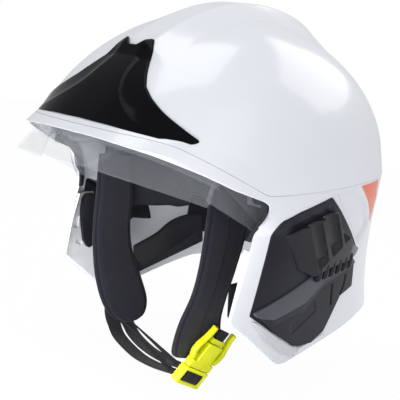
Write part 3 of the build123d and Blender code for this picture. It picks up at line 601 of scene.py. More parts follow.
def crestTop(y):
    # Ridge line: a flat oval arc each way from its peak.
    c = crestForm
    t = np.clip((c["peakY"] - y) / (c["peakY"] - c["front"]), 0, 1.3)
    u = np.clip((y - c["peakY"]) / (c["rear"] - c["peakY"]), 0, 1.2)
    return c["peakZ"] - c["frontDrop"] * t ** 2.05 - c["rearDrop"] * u ** 2.6


def crestFoot(y):
    # Half width of the crest where it runs into the dome.
    return np.interp(y, crestForm["footY"], crestForm["footHalf"])


def crestLift(x, y):
    # How far the crest raises the dome: flat across the top, hollow flanks down to the foot.
    c = crestForm
    s = np.clip((np.abs(x) - c["top"]) / (crestFoot(y) - c["top"]), 0, 1)
    hollow = 0.72 * (1 - s) ** 2.1 + 0.28 * (1 - s)
    rise = np.maximum(crestTop(y) - domeHeight(x, y), 0) * hollow
    (front, run), (rear, fall) = c["fadeFront"], c["fadeRear"]
    return rise * (ease((y - front) / run) * ease((rear - y) / fall))


def seamGap(phi):
    # The two shells meet closely in front and stand a little apart at the rear quarters.
    return 0.06 + 0.5 * ease((np.sin(phi) + 0.2) / 0.6)


def makeCrown():
    # Rings from the top down the dome, over the sloping band, round the foot and up inside.
    f, c = shellForm, crestForm
    phi = (np.arange(c["around"]) / c["around"] * 2 * pi - pi / 2)[None, :]
    low = levelOf(phi, lambda p, z: waistRadius(p), lowerCrease) + seamGap(phi) / 2
    high = levelOf(phi, domeRadius, upperCrease)
    turn = np.sin(np.linspace(pi / 2, 0, c["rows"]))[:, None]
    turn[0] = 0.99999
    z = high + (f["domeTop"] - high) * turn
    outer = place(phi, domeRadius(phi, z), z)
    outer[..., 2] += crestLift(outer[..., 0], outer[..., 1]) * ease((outer[..., 2] - high) / 12.0)
    t = np.concatenate([[0.06, 0.12], np.linspace(0.25, 1, 9)])[:, None]
    top = outer[-1][None]
    band = top + (place(phi, waistRadius(phi), low) - top) * t[..., None]
    inFoot = place(phi, waistRadius(phi, -f["wall"]), low)
    inTop = f["domeTop"] - f["wall"]
    inZ = high + (inTop - high) * np.sin(np.linspace(0, pi / 2, 16))[:, None]
    inZ[-1] = inTop - 0.001
    inner = place(phi, domeRadius(phi, inZ, -f["wall"]), inZ)
    grid = np.concatenate([outer, band, inFoot, inner])
    makePiece("crown", [ringSurface(grid, "cap")], "shell_white", node="crown_shell", sharp=40)


makeCrown()
print("stage: crown made")

# Lower shell, cut to the face opening and the rim.

lowerForm = {
    "opening": [(-260, 49.5), (-155, 49.5), (-136, 45), (-109, 37), (-85, 29), (-47, 20), (-60, -70),
                (9, -112), (48, -100), (118, -80), (185, -72), (260, -72), (260, -260),
                (-260, -260)],
    "rounds": {5: 17.0, 6: 4.0, 7: 24.0, 8: 20.0, 9: 20.0, 2: 10.0, 3: 20.0, 4: 20.0, "rest": 1.0},
    "brimPoints": 6, "rimPoints": (6, 12), "step": 0.7,
    "scoop": [(20, 31.5), (38, 36), (53, 37.5), (76, 23), (99, 5), (78.5, -11), (60, 2.5),
              (33, 21)],
    "scoopDeep": 2.6, "columns": 330, "rows": 84, "round": 1.2,
    "roundShares": (1.0, 0.62, 0.3, 0.08, 0.0), "lip": 0.6, "lipShares": (1.0, 0.4, 0.1),
}


def edgeDistance(y, z, outline):
    # Distance to a closed outline in the side view, positive inside.
    p = np.asarray(outline, float)
    best = np.full(np.shape(y), 1e9)
    inside = np.zeros(np.shape(y), bool)
    for a, b in zip(p, np.roll(p, -1, 0)):
        d = b - a
        best = np.minimum(best, segmentDistance(y, z, a, b))
        if a[1] != b[1]:
            crosses = (a[1] > z) != (b[1] > z)
            inside ^= crosses & (y < a[0] + (z - a[1]) / (b[1] - a[1]) * d[0])
    return np.where(inside, best, -best)


def makeLowerShell():
    # Wall from the lower crease down to the opening's edge and the rim. Its uprights fan out
    # round the temple; the rim is half round, and the scoop behind the cover is pressed in.
    f, g = shellForm, lowerForm
    points = np.array(g["opening"], float)
    brim, rim = points[:g["brimPoints"]], points[slice(*g["rimPoints"])]
    ring = roundedOutline(points, g["rounds"], g["step"])
    keep = (ring[:, 0] > -75) & (ring[:, 0] < 108) & (ring[:, 1] > -115) & (ring[:, 1] < 27)
    middle = ring[keep]
    start = np.argmin(np.hypot(middle[:, 0] + 75, middle[:, 1] - 26))
    middle = np.roll(middle, -start, 0)
    at = wallAt(middle[:, 0], middle[:, 1], 0.0)
    midPhi = np.arctan2(at[:, 1] - axisY, at[:, 0])
    fore = np.linspace(-pi / 2, midPhi[0], 240)[:-1]
    aft = np.linspace(midPhi[-1], pi / 2, 240)[1:]
    foreZ, aftZ = [levelOf(turn, wallRadius, lambda y: np.interp(y, edge[:, 0], edge[:, 1]), 50)
                   for turn, edge in ((fore, brim), (aft, rim))]
    phi = np.concatenate([fore, midPhi, aft])
    z = np.concatenate([foreZ, middle[:, 1], aftZ])
    x, y = [v * wallRadius(phi, z) for v in (np.cos(phi), np.sin(phi))]
    runs = np.sqrt(np.diff(x) ** 2 + np.diff(y) ** 2 + np.diff(z) ** 2)
    far = np.concatenate([[0], np.cumsum(runs)])
    heel = np.argmin(np.abs(middle[:, 0] - 26) + 100 * (middle[:, 1] > -60))
    first, last = far[len(fore)], far[len(fore) + heel]
    topPhi = np.where(far < first, phi, np.where(far > last, phi, 0))
    span = (far >= first) & (far <= last)
    topPhi[span] = np.interp(far[span], [first, last],
                             [np.interp(first, far, phi), np.interp(last, far, phi)])
    even = np.linspace(0, far[-1], g["columns"] + 1)
    lowPhi, lowZ, topPhi = [np.interp(even, far, v)[None, :] for v in (phi, z, topPhi)]
    dense = np.linspace(-pi / 2, pi / 2, 900)
    lip = levelOf(dense, lambda p, h: waistRadius(p), lowerCrease) - f["seam"] / 2
    topZ = np.interp(topPhi, dense, lip)
    length = np.hypot(topZ - lowZ, (topPhi - lowPhi) * 110.0)
    t = (np.arange(g["rows"]) / (g["rows"] - 1.0))[:, None] ** 1.25
    shares = np.array(g["roundShares"])
    back = g["round"] * shares[:, None] / length
    t = np.concatenate([t * (1 - back[:1]), 1 - back[1:]])
    drop = np.zeros(t.shape)
    drop[-4:] = g["round"] * (1 - np.sqrt(1 - (1 - shares[1:]) ** 2))[:, None]
    drop[:3] = g["lip"] * np.array(g["lipShares"])[:, None]
    at, level = topPhi + (lowPhi - topPhi) * t, topZ + (lowZ - topZ) * t
    flare = f["brimFlare"] * np.clip((np.interp(at, dense, lip) - level) / f["brimFace"], 0, 1)
    outer = place(at, wallRadius(at, level, 0.0, flare), level)
    near = edgeDistance(outer[..., 1], outer[..., 2], g["scoop"])
    deep = ease((near + 1.2) / 4.0) * g["scoopDeep"] * ease((outer[..., 1] - 15) / 10)
    outer = place(at, wallRadius(at, level, -drop - deep, flare), level)
    inner = place(at, wallRadius(at, level, drop - f["wall"], flare), level)
    thin = np.unique(np.concatenate([np.arange(0, len(t) - 5, 5), np.arange(len(t) - 5, len(t))]))
    section = np.concatenate([outer, inner[thin][::-1]])
    half = section.transpose(1, 0, 2)
    other = (half * [-1, 1, 1])[-2:0:-1]
    makePiece("lowerShell", [ringSurface(np.concatenate([half, other]), "wrap")], "shell_white",
              sharp=50)


makeLowerShell()
print("stage: lower shell made")

# Raised plates that follow a surface.


def patch(surface, form, relief=None):
    # Plate over a star-shaped outline: rings from the outline in to a centre, at a height over
    # the surface that is level inside and falls in a quarter circle at the rim.
    edge, step = form["edge"], form["step"]
    ring = roundedOutline(form["outline"], form["rounds"], step)
    spoke = ring - np.asarray(form["centre"], float)
    reach = np.linalg.norm(spoke, axis=1)[None, :]
    turn = np.linspace(0, pi / 2, 6)[:, None]
    near = edge * (1 - np.cos(turn))
    count = int(reach.max() / step)
    inner = edge + (reach - edge) * (np.linspace(0, 1, count)[1:-1, None]) ** 1.1
    inset = np.concatenate([near[:1] + 0 * reach, near + 0 * reach, inner])
    p = ring[None] - spoke[None] * (inset / reach)[..., None]
    height = np.full(inset.shape, float(form["rise"]))
    if relief:
        height = height + relief(p[..., 0], p[..., 1])
    height[1:7] -= edge * (1 - np.sin(turn))
    height[0] = form["base"]
    return ringSurface(surface(p[..., 0], p[..., 1], height), "cap")


def pairOf(name, part, slotName):
    # A left piece and its mirror image.
    return [makePiece(name + side, [shape], slotName, sharp=40)
            for side, shape in (("Left", part), ("Right", flipped(part)))]


coverForm = {
    "outline": [(-40, 9), (-23, 17), (13, 29), (29, 19), (57, 0), (77, -15), (70, -25), (80, -48),
                (62, -55), (52, -86), (38, -94), (19, -95), (-16, -79), (-45, -64), (-43, -28)],
    "rounds": {0: 8.0, 3: 5.0, "rest": 2.0}, "centre": (15, -35), "rise": 1.3, "base": -0.8,
    "edge": 1.2, "step": 1.2, "band": [(-38, 1), (-20, 9.5), (14, 21.5), (33, 9)], "sunk": 0.7,
}


def coverRelief(y, z):
    # A shallow step under the band along the upper edge, and a slow crown over the face.
    band = np.array(coverForm["band"], float)
    below = np.interp(y, band[:, 0], band[:, 1]) - z
    return -coverForm["sunk"] * ease(below / 1.6 + 0.5) * ease((34 - y) / 6)


pairOf("sideCover", patch(wallAt, coverForm, coverRelief), "trim_black")

railForm = {
    "outline": [(-30, -2), (-22, 5), (16, 19), (55, -9), (74, -14), (68, -19.6), (24, -27.4),
                (10, -33.5), (-8, -28)],
    "rounds": {2: 4.0, "rest": 1.6}, "centre": (18, -8), "rise": 7.6, "base": 0.5, "edge": 1.3,
    "step": 0.8, "lean": (0.614, -0.789),
    "flutes": [(-2.1, 6.3, 4.2), (15.4, 7.0, 4.6), (31.4, 6.3, 4.2)], "wing": -9.0,
    "teeth": 6, "firstTooth": (15.0, -31.0), "lastTooth": (57.0, -22.5),
    "toothSize": (7.5, 2.7, 8.4), "toothLean": (0.22, -0.975),
}


def railRelief(y, z):
    # Three round flutes side by side, and a wing that falls away in front of them.
    r = railForm
    across = -r["lean"][1] * y + r["lean"][0] * z
    along = r["lean"][0] * y + r["lean"][1] * z
    sunk = np.zeros(np.shape(y))
    for middle, half, deep in r["flutes"]:
        u = np.clip(np.abs(across - middle) / half, 0, 1)
        sunk = np.maximum(sunk, deep * np.sqrt(1 - u ** 2.4) * ease((30.0 - along) / 7.0))
    wing = 0.42 * np.maximum(r["wing"] - across, 0)
    tip = 0.16 * np.maximum(y - 52.0, 0)
    return -sunk - wing - tip


def finger(surface, middle, lean, size, base):
    # Rounded finger: a closed oval whose ends are blunt, standing on the surface.
    length, width, tall = size
    a = np.linspace(0.02, pi - 0.02, 22)[:, None]
    b = (np.arange(20) / 20 * 2 * pi)[None, :]
    run = np.sign(np.cos(a)) * np.abs(np.cos(a)) ** 0.75 * length + 0 * b
    side = np.sin(a) ** 0.6 * np.cos(b) * width
    rise = np.sin(a) ** 0.6 * np.sin(b) * (tall - base) / 2 + (tall + base) / 2
    y = middle[0] + lean[0] * run - lean[1] * side
    z = middle[1] + lean[1] * run + lean[0] * side
    return ringSurface(surface(y, z, rise), "cap")


def makeRails():
    r = railForm
    parts = [patch(wallAt, r, railRelief)]
    for k in range(r["teeth"]):
        t = k / (r["teeth"] - 1.0)
        middle = np.array(r["firstTooth"]) * (1 - t) + np.array(r["lastTooth"]) * t
        parts.append(finger(wallAt, middle, r["toothLean"], r["toothSize"], 0.8))
    for piece in pairOf("lampRail", joined(parts), "plate_black"):
        piece.data.materials[0] = paint["railGloss"]


makeRails()

moduleForm = {
    "outline": [(-44, -61.5), (-8, -45), (10, -36), (23, -29), (69, -21), (79, -47), (61.5, -54),
                (51.5, -85), (38, -93.4), (19.2, -94.4), (-16, -78.4)],
    "rounds": {"rest": 1.6, 7: 5.0}, "centre": (25, -60), "rise": 4.4, "base": 0.3, "edge": 1.1,
    "step": 0.8,
    "high": [(-44, -61.5), (-8, -45), (10, -36), (23, -29), (69, -21)],
    "low": [(-44, -63.5), (-24, -66), (10, -55), (28, -39), (68, -25.5)],
    "grooves": [((42, -43), (44.5, -50), (49, -60)), ((60, -36), (61.5, -44), (60, -52))],
    "plate": (14.0, -68.0), "plateLean": (0.82, 0.57), "plateHalf": (15.0, 5.5),
}


def onLedge(y, z):
    # 1 over the sloping ledge between its two lines.
    m = moduleForm
    high, low = np.array(m["high"], float), np.array(m["low"], float)
    top, foot = np.interp(y, high[:, 0], high[:, 1]), np.interp(y, low[:, 0], low[:, 1])
    return (top - z) / np.maximum(top - foot, 0.5)


def moduleRelief(y, z):
    # The ledge climbs outwards to its lower line; grooves and a bare plate are cut in the face.
    m = moduleForm
    t = onLedge(y, z)
    rise = np.where(t < 1, -2.6 + 3.6 * np.clip(t, 0, 1) ** 0.8, 1.0 - 0.9 * ease((t - 1) * 2.2))
    face = 0.9 * ease((t - 1) * 2.2)
    for line in m["grooves"]:
        for a, b in zip(line[:-1], line[1:]):
            gap = segmentDistance(y, z, a, b)
            rise = np.minimum(rise, 1.0 - 2.4 * np.exp(-(gap / 0.9) ** 2) - face)
    c, s = m["plateLean"]
    u = (y - m["plate"][0]) * c + (z - m["plate"][1]) * s
    v = -(y - m["plate"][0]) * s + (z - m["plate"][1]) * c
    room = np.minimum(m["plateHalf"][0] - np.abs(u), m["plateHalf"][1] - np.abs(v))
    return rise - 0.45 * ease(room / 0.8 + 0.5)


def makeModules():
    # Both modules; the faces of the ledge get a satin finish and a lighter grey that is a painted
    # highlight.
    for piece in pairOf("sideModule", patch(wallAt, moduleForm, moduleRelief), "trim_black"):
        mesh = piece.data
        mesh.materials.append(paint["satinLedgeHighlight"])
        _, y, z = readArray(mesh.polygons, "center").T * 1000
        mesh.polygons.foreach_set("material_index", (onLedge(y, z) < 1.0).astype(np.int32))


makeModules()

lensForm = {"slot": "lens_clear", "centre": (-8, -86), "rise": 2.6, "base": -0.8, "edge": 1.0,
            "step": 0.8, "rounds": {"rest": 1.2},
            "outline": [(-45.5, -65.4), (-22, -85), (3, -98.5), (22, -104.5), (24, -96.6), (19, -96),
                        (-16.5, -80)]}
tabForm = {"slot": "shell_white", "centre": (43, -95.5), "rise": 2.0, "base": -0.8, "edge": 0.8,
           "step": 0.8, "rounds": {"rest": 1.0},
           "outline": [(27, -97.2), (59, -88.6), (60.5, -93), (27, -102.4)]}
panelForm = {"slot": "reflective_orange", "centre": (88, 29), "rise": 0.3, "base": -0.8, "edge": 0.4,
             "step": 1.2, "rounds": {"rest": 1.0},
             "outline": [(57, 38), (99, 42.3), (106, 26), (102.5, 5.5), (94, 14), (79.5, 24.5)]}
for name, form in (("lampLens", lensForm), ("rimTab", tabForm), ("reflectivePanel", panelForm)):
    pairOf(name, patch(wallAt, form), form["slot"])
print("stage: side pieces made")

# Front plate on the crown.

plateForm = {
    "shares": [(0, .06), (.35, .05), (.8, .01), (.95, 0), (1, .06), (.87, .16), (.70, .28),
               (.56, .39), (.44, .50), (.36, .62), (.28, .75), (.23, .88), (.155, .99), (.05, .90)],
    "half": 85.0, "low": 54.0, "high": 122.0, "rise": 3.3, "base": -1.0, "edge": 1.2, "step": 1.3,
    "rounds": {"rest": 2.5, 3: 3.0, 4: 2.0, 12: 1.2, 13: 1.5}, "centre": (0, 68), "dish": 1.9,
    "fold": [(9, 124), (10, 119), (13, 97), (21, 81), (39, 67), (59, 58), (70, 53)],
}


def crownHeight(x, y):
    return domeHeight(x, y) + crestLift(x, y)


def crownFront(x, z, off):
    # Point of the crown's front seen at x and z, moved out along the surface's normal.
    low, high = np.full(np.shape(x), -172.0), np.full(np.shape(x), -35.0)
    for _ in range(24):
        mid = (low + high) / 2
        over = crownHeight(x, mid) > z
        low, high = np.where(over, low, mid), np.where(over, mid, high)
    y, d = (low + high) / 2, 0.8
    height = crownHeight(x, y)
    alongX = (crownHeight(x + d, y) - crownHeight(x - d, y)) / (2 * d)
    alongY = (crownHeight(x, y + d) - height) / d
    normal = np.stack([-alongX, -alongY, np.ones(np.shape(x))], -1)
    normal /= np.linalg.norm(normal, axis=-1, keepdims=True)
    return np.stack([x, y, z + 0 * x], -1) + normal * np.asarray(off)[..., None]


def plateRelief(x, z):
    # Inside the fold the plate is level; outside it is dished down to its edge.
    fold = curveThrough(plateForm["fold"], 60)
    x = np.abs(x)
    gap = np.min(np.hypot(x[..., None] - fold[:, 0], z[..., None] - fold[:, 1]), -1)
    outside = x > np.interp(z, fold[::-1, 1], fold[::-1, 0])
    return np.where(outside, -plateForm["dish"] * (1 - np.exp(-gap / 5.0)), 0.0)


def makePlate():
    f = plateForm
    side = np.array(f["shares"], float) * [f["half"], f["high"] - f["low"]] + [0, f["low"]]
    outline = np.vstack([side, side[:0:-1] * [-1, 1]])
    part = patch(crownFront, dict(f, outline=outline), plateRelief)
    makePiece("frontPlate", [part], "plate_black", sharp=38)


makePlate()
print("stage: front plate made")

# Clear face shield and ocular visor, turning about one axis.

turnForm = {
    "pivot": (10.0, -10.0),
    "faceShield": {"radius": 156.3, "drop": 46.5, "dropAt": 96.0, "edge": 94.1, "thick": 2.2,
                   "lip": 13.0, "top": 65.0, "hub": 12.0, "arm": (15.0, 58.0), "flare": 25.5,
                   "flareAt": 92.0},
    "ocularVisor": {"radius": 147.8, "drop": 35.0, "dropAt": 85.0, "edge": 90.6, "thick": 1.8,
                    "lip": 21.0, "top": 61.0, "hub": 11.0, "arm": (24.0, 55.0), "flare": 0.0,
                    "flareAt": 92.0},
}


def turnedPoint(form, x, angle, off):
    # Point at an angle round the pivot; the radius falls with the power 3.3 of x, and the
    # lip flares outwards over its last degrees.
    lip = np.maximum((33.0 - angle) / 20.0, 0) ** 1.7
    r = form["radius"] - form["drop"] * (np.abs(x) / form["dropAt"]) ** 3.3 + off
    r = r + form["flare"] * np.maximum(1 - (np.abs(x) / form["flareAt"]) ** 2.2, 0) * lip
    a = np.radians(angle)
    y0, z0 = turnForm["pivot"]
    return np.stack(np.broadcast_arrays(x, y0 - r * np.cos(a), z0 + r * np.sin(a)), -1)


def makeTurned(name):
    # Curved clear sheet with a rounded lip, and a flat arm each side to its hub.
    form = turnForm[name]
    even = np.linspace(-1, 1, 181)[None, :]
    x = 0.65 * (form["edge"] * np.sin(even * pi / 2)) + 0.35 * even * form["edge"]
    angle = np.concatenate([[0, 0.12, 0.4, 0.9], np.linspace(1.6, form["top"] - form["lip"], 60)])
    angle = angle[:, None]
    half = form["thick"] / 2
    pull = np.zeros(angle.shape)
    pull[:4, 0] = half * np.array([0.95, 0.6, 0.25, 0.05])
    top = turnedPoint(form, x, form["lip"] + angle, -pull)
    bottom = turnedPoint(form, x, form["lip"] + angle, pull - form["thick"])
    parts = [sheetSolid(top, bottom)]
    y0, z0 = turnForm["pivot"]
    low, high = form["arm"]
    a = np.radians(np.linspace(low, high, 20))
    reach = form["radius"] - form["drop"] * (form["edge"] / form["dropAt"]) ** 3.3
    b = np.radians(np.linspace(high + 90, low + 270, 28))
    ring = np.vstack([np.stack([y0 - r * np.cos(turn), z0 + r * np.sin(turn)], -1)
                      for r, turn in ((reach, a), (form["hub"], b))])
    for side in (-1, 1):
        rows = [np.column_stack([np.full(len(ring), side * v), ring])
                for v in (form["edge"] - form["thick"], form["edge"])]
        parts.append(ringSurface(np.stack(rows), "cap"))
    makePiece(name, parts, "visor_clear", body=nodeOf(name), sharp=35)


makeTurned("faceShield")
makeTurned("ocularVisor")
print("stage: shields made")

# Padded sleeves, straps and webbing.

sleeveForm = {
    "Left": [(26, 69, -68, -30), (16, 70.5, -70, -28), (-10, 71.5, -70, -23), (-38, 69, -67, -24),
             (-60, 64.5, -65, -23), (-82, 57.5, -65, -17), (-100, 52, -62, -8),
             (-112, 47.5, -56, -6), (-119, 45, -44, -16)],
    "Right": [(24, 69.5, -57, -20), (14, 70.5, -56, -18), (-10, 71, -53, -11), (-38, 71, -51, -8),
              (-60, 67.5, -50, -4), (-82, 60.5, -49, 4), (-102, 53.5, -44, 10),
              (-114, 48.5, -36, 6), (-121, 46, -24, -4)],
    "seam": {"Left": -0.05, "Right": 9.0}, "half": 4.0, "hem": 0.86, "stitch": 3.6,
    "stitchRun": 1.9, "thread": 0.42, "seamRun": 150.0, "samples": 400,
}


def sleeveSurface(rows, along, across, face, seam):
    # Padded strip: a soft crown between two hems, the hems a low round roll; face is 1 for the
    # outer side and -1 for the inner one. A row gives height, middle, front and rear.
    f = sleeveForm
    flat = curveThrough(rows, f["samples"])
    at = np.clip(along * (f["samples"] - 1), 0, f["samples"] - 1)
    z, x, front, rear = [np.interp(at, np.arange(f["samples"]), flat[:, i]) for i in range(4)]
    v = np.abs(across)
    pad = f["half"] * 0.92 * (1 - np.clip(v / f["hem"], 0, 1) ** 7) ** 0.45
    roll = 1.5 * np.sqrt(np.clip(1 - ((v - (1 + f["hem"]) / 2) / ((1 - f["hem"]) / 2)) ** 2, 0, 1))
    thick = np.where(v < f["hem"], np.maximum(pad, 0.35), np.maximum(roll, 0.35))
    thick = np.where(v > 0.999, 0.0, thick)
    ends = np.sqrt(np.clip(1 - np.clip((along - 0.955) / 0.045, 0, 1) ** 2, 0, 1))
    thick = thick * np.maximum(ends, 0.0)
    thick = thick - 0.8 * np.exp(-((across - seam) / 0.035) ** 2) * (thick > 1.5)
    wide = np.sqrt(np.clip(1 - np.clip((along - 0.9) / 0.1, 0, 1) ** 3.2, 0, 1))
    y = (front + rear) / 2 + across * (rear - front) / 2 * np.maximum(wide, 0.02)
    return np.stack([x + face * thick, y, z + 0 * across], -1)


def makeSleeve(side):
    f = sleeveForm
    rows, seam = f[side], f["seam"][side]
    along = np.linspace(0, 1, 150)[:, None]
    across = np.sin(np.linspace(-pi / 2, pi / 2, 61))[None, :]
    across = across * 0.45 + np.linspace(-1, 1, 61)[None, :] * 0.55
    parts = [sheetSolid(*[sleeveSurface(rows, along, across, face, seam) for face in (1, -1)])]
    count = int(f["seamRun"] / f["stitch"])
    for edge in (-1, 1):
        for face in (1, -1):
            for k in range(2, count):
                t = k / count * 0.93
                ends = [sleeveSurface(rows, np.array([u]), np.array([edge * f["hem"]]), face, seam)[0]
                        for u in (t, t + f["stitchRun"] / f["seamRun"])]
                parts.append(stitch(*ends, f["thread"]))
    if side == "Right":
        parts = [flipped(p) for p in parts]
    piece = makePiece("strapSleeve" + side, parts, "padding_black", uv=[p[:, 1:] for p, _ in parts])


def stitch(a, b, radius):
    # One thread of a seam: a short six-sided bead.
    a, b = np.asarray(a, float), np.asarray(b, float)
    d = b - a
    d /= np.linalg.norm(d) + 1e-9
    n = np.cross(d, [0.3, 0.5, 0.8])
    n /= np.linalg.norm(n)
    m = np.cross(d, n)
    turn = np.arange(6) / 6 * 2 * pi
    ring = (np.cos(turn)[:, None] * n + np.sin(turn)[:, None] * m) * radius
    grid = np.stack([a + ring * 0.5, a + (b - a) * 0.25 + ring, a + (b - a) * 0.75 + ring, b + ring * 0.5])
    return ringSurface(grid, "cap")


bandForm = {"samples": 90, "across": 17, "selvedge": (0.18, 0.86, 0.07), "least": 0.02}


def band(path, across, width, thick):
    # Webbing carried along a smooth path: a flat section with rounded, slightly raised selvedges.
    # The width lies along the given direction, taken square to the path.
    p = curveThrough(path, bandForm["samples"])
    run = np.gradient(p, axis=0)
    run /= np.linalg.norm(run, axis=1, keepdims=True)
    wide = np.broadcast_to(np.asarray(across, float), p.shape)
    wide = wide - run * np.sum(wide * run, 1, keepdims=True)
    wide = wide / np.linalg.norm(wide, axis=1, keepdims=True)
    out = np.cross(run, wide)
    v = np.linspace(-1, 1, bandForm["across"])
    extra, middle, spread = bandForm["selvedge"]
    selvedge = 1 + extra * np.exp(-((np.abs(v) - middle) / spread) ** 2)
    rise = thick / 2 * np.clip(1 - np.abs(v) ** 12, 0, 1) ** 0.5 * selvedge + bandForm["least"]
    side = np.concatenate([v, v[::-1]]) * width / 2
    tall = np.concatenate([rise, -rise[::-1]])
    grid = p[:, None] + wide[:, None] * side[None, :, None] + out[:, None] * tall[None, :, None]
    far = np.concatenate([[0], np.cumsum(np.linalg.norm(np.diff(p, axis=0), axis=1))])
    uv = np.stack(np.broadcast_arrays(far[:, None], side[None, :]), -1).reshape(-1, 2)
    return ringSurface(grid, "cap"), np.vstack([uv, [[0, 0], [far[-1], 0]]])


def makeBand(name, path, across, width, thick):
    part, uv = band(path, across, width, thick)
    makePiece(name, [part], "webbing_black", uv=[uv], sharp=60)


makeSleeve("Left")
makeSleeve("Right")

chinForm = {
    "across": (0, 1, -0.1), "width": 16.0, "thick": 1.8,
    "Front": [(-53, -33, -102), (-52, -31.5, -113), (-48.5, -29.5, -122.5), (-40.5, -30.5, -129.3),
              (-25, -33.8, -133), (-3, -38, -135.2), (18.8, -41, -134), (34.9, -43, -131.6),
              (46.6, -44.2, -129.4)],
    "Rear": [(-53, -20, -106), (-51, -17, -116), (-46, -14.5, -123.5), (-38, -15.5, -128.6),
             (-25, -19.5, -130.8), (-6.2, -26.5, -130.8), (17.2, -34, -129), (35.4, -38.5, -126.4),
             (48.2, -40, -124.5)],
}
napeForm = {
    "across": (0, 0, 1), "width": 29.0, "thick": 3.0,
    "Left": [(63.6, -17.6, -68), (69.5, 28, -60), (71, 46, -52), (67, 61, -44), (60, 78, -40)],
    "Right": [(-66, 0.6, -70), (-69.5, 28, -61), (-71, 46, -52), (-67, 61, -44), (-60, 78, -40)],
}
for name, form, places in (("chinStrap", chinForm, ("Front", "Rear")),
                           ("napeStrap", napeForm, ("Left", "Right"))):
    for at in places:
        makeBand(name + at, form[at], form["across"], form["width"], form["thick"])
print("stage: straps made")

cushionForm = {"voxel": 0.0045, "pressure": 4.0, "shrink": 0.0006, "most": 0.006, "moveShare": 0.35,
               "frames": 20, "weave": 1.6}


def makeCushion(name, axes):
    # The pad's solid is drawn in a little, remeshed evenly and blown up as cloth under pressure,
    # without weight. A share of each point's move is kept, up to the cap, and one subdivision
    # smooths the rest.
    form = cushionForm
    piece = solidCopy(name)
    even = piece.modifiers.new("even", "REMESH")
    even.mode = "VOXEL"
    even.voxel_size = form["voxel"]
    finishModifiers(piece)
    points = piece.data.vertices
    start = readArray(points, "co") - readArray(points, "normal") * form["shrink"]
    points.foreach_set("co", start.ravel())
    cloth = piece.modifiers.new("cloth", "CLOTH")
    cloth.settings.use_pressure = True
    cloth.settings.uniform_pressure_force = form["pressure"]
    cloth.settings.effector_weights.gravity = 0.0
    scene = bpy.context.scene
    for number in range(1, form["frames"] + 1):
        scene.frame_set(number)
    finishModifiers(piece)
    scene.frame_set(1)
    points = piece.data.vertices
    move = readArray(points, "co") - start
    far = np.linalg.norm(move, axis=1, keepdims=True)
    cap = form["most"] * form["moveShare"]
    points.foreach_set("co", (start + move * np.minimum(1.0, cap / np.maximum(far, 1e-9))).ravel())
    smooth = piece.modifiers.new("smooth", "SUBSURF")
    smooth.levels = smooth.render_levels = 1
    finishModifiers(piece)
    piece.data.shade_smooth()
    setUv(piece.data, readArray(piece.data.vertices, "co")[:, list(axes)] * form["weave"])
    standFor(piece, "padding_black", "helmet", nodeOf(name))


makeCushion("browPad", (0, 2))
makeCushion("crownPad", (0, 1))
makeCushion("napePad", (0, 2))
print("stage: cushions made")

# Webbing at the buckle, and hangers from the sleeves.

buckleForm = {"middle": (59.4, -27.6, -110.8), "across": (0.0, 0.924, -0.383),
              "out": (0.95, -0.12, -0.29), "sliderWebbing": (-27.4, -19.3, 22.4, 6.6, 0.5),
              "tongueWebbing": (11.4, 21.8, 13.0, 1.8, 0.0)}


def onBuckle(x, y, z):
    # Place in the buckle's own plane: across it, up it and outwards.
    out = np.array(buckleForm["out"])
    out /= np.linalg.norm(out)
    across = np.array(buckleForm["across"])
    across = across - out * (across @ out)
    across /= np.linalg.norm(across)
    return np.array(buckleForm["middle"]) + across * x + np.cross(out, across) * y + out * z


def makeBuckleWebbing(name):
    # A short run of webbing up the buckle, bowed outwards in its middle.
    low, high, width, thick, bow = buckleForm[name]
    path = [onBuckle(0, low + (high - low) * v, bow * math.sin(pi * v)) for v in np.linspace(0, 1, 7)]
    makeBand(name, path, onBuckle(1, 0, 0) - onBuckle(0, 0, 0), width, thick)


def makeHanger(name):
    # Webbing from the top of the sleeve up the liner: a band through the middle of its solid.
    points = readArray(nodes[nodeOf(name)].data.vertices, "co") * 1000
    levels = [points[:, 2].min(), points[:, 2].max()]
    ends = [points[np.abs(points[:, 2] - z) < 1.0].mean(0) for z in levels]
    ends[0][2], ends[1][2] = levels
    path = [ends[0] + (ends[1] - ends[0]) * v for v in np.linspace(0, 1, 5)]
    wide = points[np.abs(points[:, 2] - levels[0]) < 1.0]
    far = wide[np.argmax(wide[:, 1])] - wide[np.argmin(wide[:, 1])]
    makeBand(name, path, far, float(np.hypot(far[0], far[1])) - 1.0, 1.8)


makeBuckleWebbing("sliderWebbing")
makeBuckleWebbing("tongueWebbing")
makeHanger("strapHangerLeft")
makeHanger("strapHangerRight")
print("stage: webbing made")

# Moulded pieces whose solids are right, with softened edges.


mouldForm = {"flat": 0.8, "steps": 3, "edgeAngle": 35.0, "sharp": 50.0}


def makeMoulded(name, width, body="helmet"):
    # Copy of a solid with its edges rounded.
    piece = solidCopy(name, mouldForm["flat"])
    piece.data.shade_smooth()
    bevel = piece.modifiers.new("bevel", "BEVEL")
    bevel.width = width * mm
    bevel.segments = mouldForm["steps"]
    bevel.limit_method = "ANGLE"
    bevel.angle_limit = math.radians(mouldForm["edgeAngle"])
    bevel.harden_normals = True
    bpy.context.view_layer.update()
    finishModifiers(piece)
    piece.data.set_sharp_from_angle(angle=math.radians(mouldForm["sharp"]))
    standFor(piece, "buckle_yellow", body, nodeOf(name))


makeMoulded("buckleBody", 0.9)
makeMoulded("buckleLeverFront", 0.9, "lever_front")
makeMoulded("buckleLeverRear", 0.9, "lever_rear")
makeMoulded("buckleTongue", 0.6)
makeMoulded("buckleSlider", 1.4)
print("stage: buckle made")

# Camera, lights and floor.

